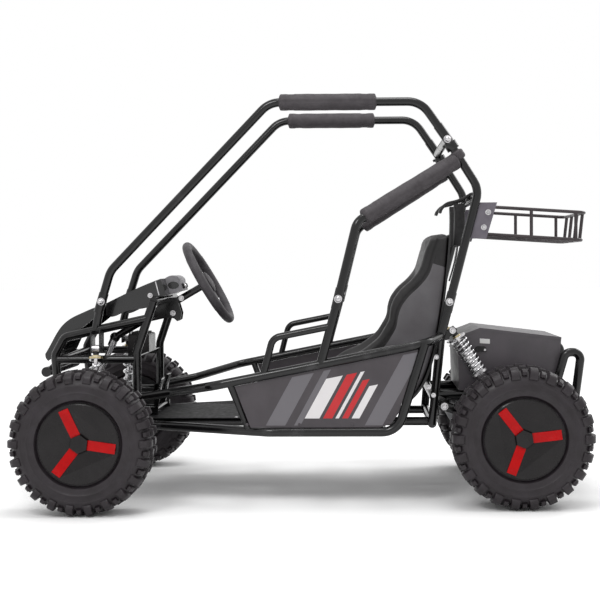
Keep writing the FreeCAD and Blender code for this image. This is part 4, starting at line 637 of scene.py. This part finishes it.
def stamped(name, loops, place, thick, skin, body):
    """A flat part cut from sheet: the first loop is its edge and the others are its holes."""
    profile = bpy.data.curves.new(name + "_profile", "CURVE")
    profile.dimensions = "2D"
    profile.fill_mode = "BOTH"
    profile.extrude = thick / 2
    for loop in loops:
        line = profile.splines.new("POLY")
        line.points.add(len(loop) - 1)
        for point, (x, y) in zip(line.points, loop):
            point.co = (x, y, 0, 1)
        line.use_cyclic_u = True
    drawn = bpy.data.objects.new(name + "_profile", profile)
    bm = bmesh.new()
    bm.from_mesh(bpy.data.meshes.new_from_object(drawn))
    bmesh.ops.transform(bm, matrix=place, verts=bm.verts)
    bpy.data.objects.remove(drawn)
    return piece(name, bm, skin, body)


def circle(r, steps, ring=0.0, turn=0.0):
    """Outline of a hole, or of a round edge, whose middle lies on a ring at a turn."""
    middle = round_point(ring, turn)
    return [(middle + round_point(r, 2 * math.pi * i / steps)).xy for i in range(steps)]


# Rolled steel under chain oil: brown-grey metal, half dull, with small wet glints.
oiled_steel = finish("Oiled dark steel", "#4c4a4b", "#6b696a", 12, (0.28, 0.48), 1, 0.03, Metallic=1.0)
# Ground steel: light bare metal with a fine brushed blur where the pads rub.
ground_steel = finish("Ground brake steel", "#9b9a9b", "#bdbcbd", 18, (0.22, 0.4), 0.8, 0.03, Metallic=1.0)
axle = Vector((-0.614, 0, axle_height))
shaft = Vector((-0.464, 0, 0.2457))
pinion_r = 0.016
sprocket_r = 0.062
tooth_height = 0.0058
bore_r = 0.01505
chain_y = -0.138
sprocket_teeth = 30
steps_per_tooth = 6
edge = []
for step in range(sprocket_teeth * steps_per_tooth):
    lift = max(0.0, math.cos(2 * math.pi * (step % steps_per_tooth) / steps_per_tooth)) ** 0.7
    edge.append(round_point(sprocket_r - tooth_height + tooth_height * lift,
                            2 * math.pi * step / (sprocket_teeth * steps_per_tooth)).xy)
lightening = [circle(0.0095, 20, 0.042, math.pi * i / 3) for i in range(6)]
vents = [circle(0.0032, 14, ring, turn) for i in range(12)
         for ring, turn in ((0.056, math.pi * i / 6), (0.063, math.pi * (i + 0.5) / 6))]
hub = [(bore_r, 0), (0.026, 0), (0.027, 0.001), (0.027, 0.021), (0.026, 0.022), (bore_r, 0.022)]
for name, loops, y, skin, hub_y, bolt_y, count, first in (
    ("sprocket", [edge, circle(bore_r, 40)] + lightening, chain_y, oiled_steel, -0.148, -0.148, 3, 0.5),
    ("brake_disc", [circle(0.072, 96), circle(bore_r, 40)] + vents, 0.132, ground_steel, 0.122, 0.144, 4, 0.25),
):
    across_axle = Matrix(((1, 0, 0, axle.x), (0, 0, 1, y), (0, 1, 0, axle.z), (0, 0, 0, 1)))
    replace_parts(stamped(name + "_plate", loops, across_axle, 0.004, skin, "rear_wheels"), name)
    bm = bmesh.new()
    lathe(bm, hub, along((axle.x, hub_y, axle.z), (0, 1, 0)), loop=True)
    for index in range(count):
        at = round_point(0.021, math.pi * (first + index * 2 / count))
        hex_bolt(bm, along((axle.x + at.x, bolt_y, axle.z + at.y), (0, y, 0)), 0.007)
    piece(name + "_hub", bm, zinc, "rear_wheels")


def chain_path(grow):
    """The chain's loop, grown outward from both toothed wheels: its length and its point at a length."""
    large = sprocket_r + grow
    small = pinion_r + grow
    run = shaft - axle
    tilt = math.atan2(run.z, run.x)
    wrap = math.acos((sprocket_r - pinion_r) / run.length)
    straight = math.sqrt(run.length ** 2 - (large - small) ** 2)
    small_arc = 2 * wrap * small
    total = 2 * straight + small_arc + (2 * math.pi - 2 * wrap) * large

    def polar(centre, radius, angle):
        return centre + Vector((math.cos(angle), 0, math.sin(angle))) * radius

    def at(length):
        length %= total
        if length < straight:
            return polar(axle, large, tilt + wrap).lerp(polar(shaft, small, tilt + wrap), length / straight)
        length -= straight
        if length < small_arc:
            return polar(shaft, small, tilt + wrap - length / small)
        length -= small_arc
        if length < straight:
            return polar(shaft, small, tilt - wrap).lerp(polar(axle, large, tilt - wrap), length / straight)
        length -= straight
        return polar(axle, large, tilt - wrap - length / large)

    return total, at


chain_pitch = 0.0127
waist = 0.0042
total, at = chain_path(0.0049)
links = 2 * round(total / chain_pitch / 2)
bm = bmesh.new()
for index in range(links):
    start = at(total * index / links)
    end = at(total * (index + 1) / links)
    ahead = (end - start).normalized()
    reach = (end - start).length
    outline = []
    for step in range(12):
        turn = math.pi * step / 6
        centre = reach if math.cos(turn) > 0.01 else 0.0
        outline.append((centre + waist * math.cos(turn), waist * math.sin(turn)))
    link_face = Matrix(((ahead.x, -ahead.z, 0, start.x), (0, 0, -1, chain_y),
                        (ahead.z, ahead.x, 0, start.z), (0, 0, 0, 1)))
    spread = 0.0013 if index % 2 else 0.0006
    for side, word in sides:
        low, high = sorted((side * spread, side * (spread + 0.0007)))
        slab(bm, outline, link_face, low, high, 0.0002)
    lathe(bm, [(0, -0.002), (0.0018, -0.002), (0.0018, 0.002), (0, 0.002)],
          along((start.x, chain_y, start.z), (0, 1, 0)), steps=10)
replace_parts(piece("chain_links", bm, oiled_steel, "chassis"), "drive_chain")

# Anodised aluminium caliper: dark, satin, with two bright slide bolts.
anodised = finish("Black anodised aluminium", "#232325", "#303032", 20, (0.30, 0.44), 1, 0.04, Metallic=0.6)
dress(anodised, "brake_caliper")
bolts("caliper_bolts", [along((x, 0.118, 0.268), (0, -1, 0)) for x in (-0.630, -0.598)], 0.009)
# Motor can: drawn steel tube sprayed satin black between two cast end bells held by long screws.
dress(rim_paint, "motor")
turned("motor_end_bells", [(0.0453, -0.014), (0.0461, -0.013), (0.0461, -0.001), (0.044, 0.0016),
                           (0.020, 0.0016), (0.018, 0.004), (0.0085, 0.004), (0.0085, 0)],
       outward([(shaft.x, 0.065, shaft.z)]), cast, steps=48)
corners = [round_point(0.036, math.pi * (0.25 + index / 2)) for index in range(4)]
bolts("motor_screws", outward([(shaft.x + at.x, 0.0666, shaft.z + at.y) for at in corners]), 0.007)

# Battery box: folded sheet steel in dark grey satin powder coat, with a lift-off lid held by a
# rubber latch, and a bare pale plate near its upper edge.

# Satin powder coat: soft dark grey, each flat face one even shade with a hazy edge light.
box_coat = finish("Dark grey satin powder coat", "#474347", "#504b50", 80, (0.34, 0.48), 1.6, 0.10)
dress(box_coat, "battery_box")
box_side = 0.165
lid = [(-0.4462, 0.4715), (-0.4455, 0.4795), (-0.513, 0.5052), (-0.7562, 0.4762), (-0.7555, 0.4680),
       (-0.5135, 0.4965)]
keeper = [(-0.530, 0.434), (-0.498, 0.434), (-0.498, 0.446), (-0.503, 0.450), (-0.525, 0.450), (-0.530, 0.446)]
plates("battery_box_lid_hem", [(lid, side_face(box_side, side), 0, 0.0014, 0.0005) for side, word in sides],
       box_coat, 30)
plates("battery_box_latches", [(keeper, side_face(box_side, side), 0, 0.007, 0.0015) for side, word in sides],
       pad_rubber)
turned("battery_latch_rivets", [(0, 0.0093), (0.003, 0.009), (0.0045, 0.007), (0.0045, 0.0065), (0, 0.0065)],
       outward([(-0.5265, box_side, 0.4390)]), zinc, steps=18)
# Uncoated plate film: flat off-white that stays the same from all sides.
tag_film = finish("Matt white plate film", "#d8d7d6", "#e2e1e0", 20, (0.45, 0.6), 3, 0.01)
tag = [(-0.542, 0.457), (-0.512, 0.459), (-0.512, 0.473), (-0.542, 0.471)]
plates("battery_box_plate", [(tag, side_face(box_side), 0, 0.0006, 0.0002)], tag_film)

# Rack: welded thin tube in brownish black powder coat on two flat plates, which two bolts a
# side clamp to the hoop.

# Brown-black coat: warmer and duller than the frame, so the thin bars read soft against white.
rack_coat = finish("Brown-black satin powder coat", "#2a2225", "#352c2f", 50, (0.32, 0.46), 2, 0.08)
dress(rack_coat, "rear_rack")
# Grey-violet coat: a cool mid grey that sets the flat plates off from the black tube.
plate_coat = finish("Grey-violet satin powder coat", "#5d5861", "#6b666f", 40, (0.38, 0.5), 1.4, 0.06)
dress(plate_coat, "rack_brackets")
bolts("rack_plate_bolts", outward([(-0.530, 0.245, 0.848), (-0.517, 0.245, 0.804)]), 0.010)

# Seat: a blow-moulded black shell that carries one padded bucket, dark vinyl inside and lighter
# grey sides behind a rolled edge, with two channelled centre pads; all on two steel runners.

# Expanded vinyl over foam: soft black with a 2 mm leather pebble and gentle broad unevenness.
pebble = 2.0
vinyl = finish("Black seat vinyl, fine leather grain", "#161516", "#201e1f", 60, (0.40, 0.58), 18, 0.6,
               Specular_IOR_Level=0.4)
relief(vinyl, "TexVoronoi", {"Scale": 1000 / pebble}, "Distance", 0.00025, 0.45, feature="DISTANCE_TO_EDGE")
# Blow-moulded skin, mid grey with a slow drift of shade and a faint satin bloom.
side_vinyl = finish("Grey moulded seat side", "#545154", "#626063", 85, (0.34, 0.50), 2.4, 0.12)
# Hard moulded back: plain black with a low even sheen behind the soft vinyl.
shell_plastic = finish("Black moulded seat shell", "#161516", "#1f1d1e", 50, (0.38, 0.52), 1.3, 0.07)
dress(shell_plastic, "seat_shell")


def even(points, count):
    """Points evenly spaced along a smooth curve through (x, z) points, in the plane Y = 0."""
    run = smooth_run([(x, 0.0, z) for x, z in points], 12)
    lengths = [0.0]
    for a, b in zip(run, run[1:]):
        lengths.append(lengths[-1] + (b - a).length)
    spaced = []
    for index in range(count):
        want = lengths[-1] * index / (count - 1)
        at = max(i for i in range(len(run) - 1) if lengths[i] <= want + 1e-9)
        share = (want - lengths[at]) / (lengths[at + 1] - lengths[at])
        spaced.append(run[at].lerp(run[at + 1], min(1.0, share)))
    return spaced


def ease(t):
    """Smooth step from 0 to 1."""
    t = max(0.0, min(1.0, t))
    return t * t * (3 - 2 * t)


rows = 64
backs = even([(-0.070, 0.277), (-0.180, 0.2815), (-0.290, 0.289), (-0.330, 0.331), (-0.3655, 0.420),
              (-0.3875, 0.520), (-0.4025, 0.620), (-0.4115, 0.700), (-0.4185, 0.780)], rows)
centres = even([(-0.050, 0.322), (-0.112, 0.340), (-0.190, 0.350), (-0.245, 0.394), (-0.275, 0.460),
                (-0.300, 0.540), (-0.322, 0.620), (-0.338, 0.700), (-0.352, 0.765)], rows)
bolsters = even([(-0.047, 0.372), (-0.096, 0.411), (-0.150, 0.435), (-0.201, 0.472), (-0.223, 0.502),
                 (-0.239, 0.532), (-0.243, 0.562), (-0.253, 0.592), (-0.275, 0.622), (-0.308, 0.652),
                 (-0.331, 0.682), (-0.341, 0.712), (-0.350, 0.742), (-0.364, 0.772)], rows)
across = [0.0, 0.035, 0.065, 0.088, 0.104, 0.116, 0.127, 0.138, 0.149, 0.159, 0.168, 0.176, 0.183, 0.1885,
          0.1925, 0.1943]
bolster_start = 0.096
bolster_width = 0.066
edge_start = 0.176
edge_radius = 0.0186
bm = bmesh.new()
grid = []
for index in range(rows):
    behind, middle, wing = backs[index], centres[index], bolsters[index]
    depth = (behind - wing).length
    inward = (behind - wing).normalized()
    ring = []
    for y in across:
        hollow = middle.lerp(wing, ease((y - bolster_start) / bolster_width))
        fall = 1 - math.sqrt(max(0.0, 1 - (max(0.0, y - edge_start) / edge_radius) ** 2))
        ring.append(hollow + inward * 0.015 * fall + Vector((0, y, 0)))
    for step, y in ((0.018, 0.1948), (0.0215, 0.1938), (0.026, 0.1905), (0.0325, 0.1903), (0.0365, 0.1922)):
        ring.append(wing + inward * step + Vector((0, y, 0)))
    for share in (0.45, 0.7, 0.9):
        ring.append(wing + inward * (depth * share) + Vector((0, 0.1922, 0)))
    ring.append(behind - inward * 0.004 + Vector((0, 0.190, 0)))
    ring += [behind + Vector((0, y, 0)) for y in (0.184, 0.090, 0.0)]
    left = [bm.verts.new(p) for p in ring]
    right = [bm.verts.new((p.x, -p.y, p.z)) for p in ring[1:-1]]
    grid.append(left + right[::-1])
columns = len(grid[0])
side_columns = range(len(across) + 3, len(across) + 9)
dark_rows = 9
for number, face in enumerate(bridge(bm, grid, open_ends=True)):
    row, column = divmod(number, columns)
    on_side = column in side_columns or columns - 1 - column in side_columns
    face.material_index = 1 if on_side and row < rows - dark_rows else 0
for ring, swell in ((grid[0], Vector((0.006, 0, 0))), (grid[-1], Vector((0, 0, 0.014)))):
    middle = sum((v.co for v in ring), Vector()) / len(ring)
    inner = [bm.verts.new(v.co.lerp(middle, 0.30) + swell) for v in ring]
    for i in range(columns):
        j = (i + 1) % columns
        bm.faces.new((ring[i], ring[j], inner[j], inner[i]))
    bm.faces.new(inner)
bucket = piece("seat_bucket", bm, vinyl, crease=80)
bucket.data.materials.append(side_vinyl)
rounding = bucket.modifiers.new("rounding", "SUBSURF")
rounding.levels = rounding.render_levels = 1
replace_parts(bucket, "seat_cushion")


def stuffed(name, first, last, half, channels):
    """A pad on the seat's centre: cloth blown up like filled foam, then pressed into channels."""
    half_steps = 8
    bm = bmesh.new()
    skin = []
    for offset, pull in ((0.002, 0.0), (0.010, 0.004)):
        layer = []
        for index in range(first, last + 1):
            out = (centres[index] - backs[index]).normalized()
            inset = pull if first < index < last else pull + 0.003
            edge = (half - inset) / half_steps
            layer.append([bm.verts.new(centres[index] + out * offset + Vector((0, edge * step, 0)))
                          for step in range(-half_steps, half_steps + 1)])
        skin.append(layer)
    for layer in skin:
        for row, following in zip(layer, layer[1:]):
            for i in range(2 * half_steps):
                bm.faces.new((row[i], row[i + 1], following[i + 1], following[i]))
    low, high = skin
    for end in (0, -1):
        for i in range(2 * half_steps):
            bm.faces.new((low[end][i], low[end][i + 1], high[end][i + 1], high[end][i]))
    for end in (0, -1):
        for j in range(len(low) - 1):
            bm.faces.new((low[j][end], low[j + 1][end], high[j + 1][end], high[j][end]))
    pad = piece(name, bm, vinyl, crease=180)
    voxels = pad.modifiers.new("even skin", "REMESH")
    voxels.mode = "VOXEL"
    voxels.voxel_size = 0.004
    pad.data = bpy.data.meshes.new_from_object(pad.evaluated_get(bpy.context.evaluated_depsgraph_get()))
    pad.modifiers.clear()
    pad.data.materials.clear()
    pad.data.materials.append(vinyl)
    filling = pad.modifiers.new("filling", "CLOTH")
    filling.settings.use_pressure = True
    filling.settings.uniform_pressure_force = 4
    filling.settings.effector_weights.gravity = 0
    for step in range(1, 21):
        bpy.context.scene.frame_set(step)
    blown = pad.evaluated_get(bpy.context.evaluated_depsgraph_get())
    moved = [v.co.copy() for v in blown.data.vertices]
    pad.modifiers.clear()
    bpy.context.scene.frame_set(1)
    stretch = 0.006
    for vertex, place in zip(pad.data.vertices, moved):
        shift = place - vertex.co
        if shift.length > stretch:
            shift = shift.normalized() * stretch
        vertex.co = vertex.co + shift
    channel_depth = 0.0038
    channel_half = 0.0035
    for vertex in pad.data.vertices:
        for index in channels:
            out = (centres[index] - backs[index]).normalized()
            away = (vertex.co - centres[index]).dot((centres[index + 1] - centres[index - 1]).normalized())
            if (vertex.co - centres[index]).dot(out) > 0.004:
                vertex.co -= out * channel_depth * math.exp(-(away / channel_half) ** 2)
    pad.data.shade_smooth()
    softening = pad.modifiers.new("rounding", "SUBSURF")
    softening.levels = softening.render_levels = 1


stuffed("seat_pad", 5, 22, 0.086, (9, 13, 17))
stuffed("back_pad", 29, 49, 0.084, (33, 37, 41, 45))

# Harness: two shoulder straps of 50 mm black webbing, looped over the hoop's middle tube. Each
# has a stiff sewn pad reaching forward, a padded sleeve hanging behind the seat and, on its
# tail, a steel adjuster.

# Woven polyester: fine 1.6 mm ribs across the width, dull black with a slight sheen on the ribs.
rib = 1.6
webbing = finish("Black woven webbing", "#171617", "#222122", 12, (0.62, 0.8), 3, 0.1, Sheen_Weight=0.15)
relief(webbing, "TexWave", {"Scale": 1000 / rib / 20, "Distortion": 0.6}, "Fac", 0.0003, 0.6,
       bands_direction="Z")
hoop_x, hoop_z = -0.4965, 0.893


def ribbon(bm, points, middle_y, width, thick):
    """A strap in a plane of constant Y, through points given as distance ahead of the hoop and height."""
    run = smooth_run([(hoop_x + ahead, middle_y, z) for ahead, z in points], 6)
    half = width / 2
    section = [(-half, 0.0), (-half + 0.001, 0.4), (-half + 0.004, 0.5), (half - 0.004, 0.5),
               (half - 0.001, 0.4), (half, 0.0), (half - 0.001, -0.4), (half - 0.004, -0.5),
               (-half + 0.004, -0.5), (-half + 0.001, -0.4)]
    rings = []
    for index, point in enumerate(run):
        ahead = heading(run, index)
        out = Vector((ahead.z, 0, -ahead.x))
        rings.append([bm.verts.new(point + Vector((0, y, 0)) + out * (share * thick)) for y, share in section])
    bridge(bm, rings)


strap_width, strap_thick = 0.050, 0.0024
over_tube = [(0.030, 0.862), (0.024, 0.878), (0.0155, hoop_z)]
over_tube += [(0.0152 * math.cos(math.radians(a)), hoop_z + 0.0152 * math.sin(math.radians(a)))
              for a in (40, 80, 120, 150)]
tail = [(0.029, 0.868), (0.030, 0.800), (0.0315, 0.740), (0.043, 0.690), (0.057, 0.642)]
pad_ahead = [(-0.013, 0.9015), (-0.006, 0.9085), (0.006, 0.9085), (0.022, 0.8985), (0.048, 0.8880),
             (0.078, 0.8800), (0.094, 0.8650), (0.099, 0.8530)]
pad_hanging = [(0.040, 0.880), (0.039, 0.845), (0.040, 0.800), (0.043, 0.752)]
for side, word in sides:
    y = side * 0.095
    bm = bmesh.new()
    ribbon(bm, over_tube, y, strap_width, strap_thick)
    ribbon(bm, tail, y, strap_width, strap_thick)
    strap = piece("harness_strap_" + word, bm, webbing, crease=60)
    if side > 0:
        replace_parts(strap, "harness")
    bm = bmesh.new()
    ribbon(bm, pad_ahead, y, 0.049, 0.009)
    ribbon(bm, pad_hanging, y, 0.056, 0.030)
    piece("harness_pad_" + word, bm, webbing, crease=60)
    face = along((hoop_x + 0.0335, y, 0.730), (0.98, 0, 0.18))
    plates("harness_adjuster_" + word, [(bar(0, 0, 0.0016, 0.0275), face @ Matrix.Translation((shift, 0, 0)),
                                         0.0012, 0.0036, 0.0005) for shift in (-0.0085, 0.0, 0.0085)],
           zinc)

# Nose and dash cowls: vacuum-formed black plastic with turned-down sides, screwed to the frame;
# a thin bright trim strip runs round the dash just ahead of its rear edge.

# Polished ABS sheet: deep black mirror with slow waves from forming about 150 mm long.
cowl_plastic = finish("Gloss black formed ABS", "#0d0d0e", "#151516", 120, (0.12, 0.22), 150, 0.8,
                      Coat_Weight=0.3, Coat_Roughness=0.06)
dress(cowl_plastic, "nose_cowl", "dash_cowl")
cowl_side = 0.140
trim_down = [(0.466, 0.6485), (0.469, 0.6470), (0.4585, 0.6060), (0.4555, 0.6060)]
dash_top = Matrix(((0, 0.929, 0.369, 0.4675), (1, 0, 0, 0), (0, -0.369, 0.929, 0.6492), (0, 0, 0, 1)))
plates("dash_trim", [(trim_down, side_face(cowl_side, side), 0, 0.0008, 0.0002) for side, word in sides]
       + [(bar(0, 0, 0.1395, 0.0016), dash_top, -0.0002, 0.0007, 0.0002)], zinc)
bolts("cowl_screws", outward([(0.484, cowl_side, 0.6055)]), 0.009)

# Control box: moulded grey housing at the dash with a dark oval window on each side, a key
# switch and two push buttons towards the driver.

# Fine-grained ABS: even mid grey, light enough to stand out from the black dash.
grey_abs = finish("Grey moulded ABS", "#858387", "#949296", 30, (0.34, 0.48), 1.2, 0.05)
dress(grey_abs, "control_box")
oval = [(0.4255 + 0.017 * math.cos(a * math.pi / 18), 0.6350 + 0.0115 * math.sin(a * math.pi / 18))
        for a in range(36)]
plates("control_box_windows", [(oval, side_face(0.058, side), 0, 0.0009, 0.0003) for side, word in sides],
       cowl_plastic, 30)
driver_way = Vector((-0.952, 0, 0.305))
button_r = 0.0085
turned("push_buttons", [(0, 0.0052), (button_r * 0.7, 0.005), (button_r * 0.8, 0.0035), (button_r * 0.8, 0.002),
                        (button_r, 0.0018), (button_r * 1.05, 0), (0, 0)],
       [along((0.3995, y, 0.6325), driver_way) for y in (-0.034, 0.034)], pad_rubber, steps=32)
turned("key_switch", [(0, 0.0062), (0.0052, 0.006), (0.0055, 0.003), (0.0088, 0.0026), (0.0095, 0.0008),
                      (0.0095, 0), (0, 0)], [along((0.3995, 0, 0.6325), driver_way)], zinc, steps=36)

# Controller box: black moulded case between the frame's mid rails, its lid screwed down and
# ribbed to shed heat.

flat = Matrix.Identity(4)
plates("controller_lid", [(bar(0.535, 0, 0.0315, 0.0585), flat, 0.4800, 0.4835, 0.001)]
       + [(bar(0.535, -0.042 + step * 0.014, 0.024, 0.0015), flat, 0.4830, 0.4895, 0.0005) for step in range(7)],
       cover_plastic, 30)
turned("controller_screws", [(0, 0.0016), (0.0024, 0.0014), (0.0034, 0.0003), (0.0034, -0.0005), (0, -0.0005)],
       [along((x, y, 0.4835), (0, 0, 1)) for x in (0.509, 0.561) for y in (-0.052, 0.052)],
       zinc, steps=16)

# Steering: a rubber-padded ring moulded over three flat spokes and a round boss, on a black
# steel column; below its joint a plated shaft goes down to the rack.

# Self-skinned foam rubber: charcoal, dull on the ring, slightly polished by hands in patches.
grip_rubber = finish("Self-skinned black rubber", "#3b383b", "#474447", 40, (0.42, 0.66), 1.6, 0.12,
                     Specular_IOR_Level=0.38)
dress(grip_rubber, "steering_wheel")
dress(powder_coat, "steering_column")
dress(zinc, "steering_shaft")
wheel_hub = Vector((0.3236, 0, 0.642))
ring_r = 0.131
grip_steps = 90
to_driver = Vector((-0.8660254, 0, 0.5))
rise = Vector((0.5, 0, 0.8660254))


def grip_radius(share, turn):
    """The ring's own radius with 30 shallow finger waves, tapering to each end of a grip."""
    end = min(1.0, min(share, 1 - share) / 0.03)
    return 0.0128 + 0.0013 * math.sqrt(end) + 0.00035 * math.cos(2 * math.pi * share * 30) * end


for side, word in sides:
    run = []
    for step in range(grip_steps + 1):
        turn = math.radians(-44 + step * 88 / grip_steps)
        run.append(wheel_hub + (rise * math.sin(turn) + Vector((0, side, 0)) * math.cos(turn)) * ring_r)
    bm = bmesh.new()
    sleeve(bm, run, grip_radius, 32)
    piece("wheel_grip_" + word, bm, grip_rubber, "steering", crease=50)
turned("wheel_boss_pad", [(0, 0.0125), (0.012, 0.0122), (0.022, 0.0108), (0.029, 0.0085), (0.0318, 0.0068),
                          (0.0318, 0.0055), (0, 0.0055)], [along(wheel_hub, to_driver)],
       grip_rubber, "steering", 48)
turned("wheel_spoke_screws", [(0, 0.0044), (0.003, 0.0042), (0.0046, 0.003), (0.0046, 0.0018), (0, 0.0018)],
       [along(wheel_hub + Vector((0, y, 0)) + rise * up, to_driver)
        for y, up in ((0.060, 0.0), (-0.060, 0.0), (0.0, -0.060))], zinc, "steering", 18)
bolts("column_clamp_bolt", [along((0.408, 0.0112, 0.5932), (0, 1, 0))], 0.010, body="steering")
bolts("column_bracket_bolts", outward([(0.433, 0.022, 0.547)]), 0.010)
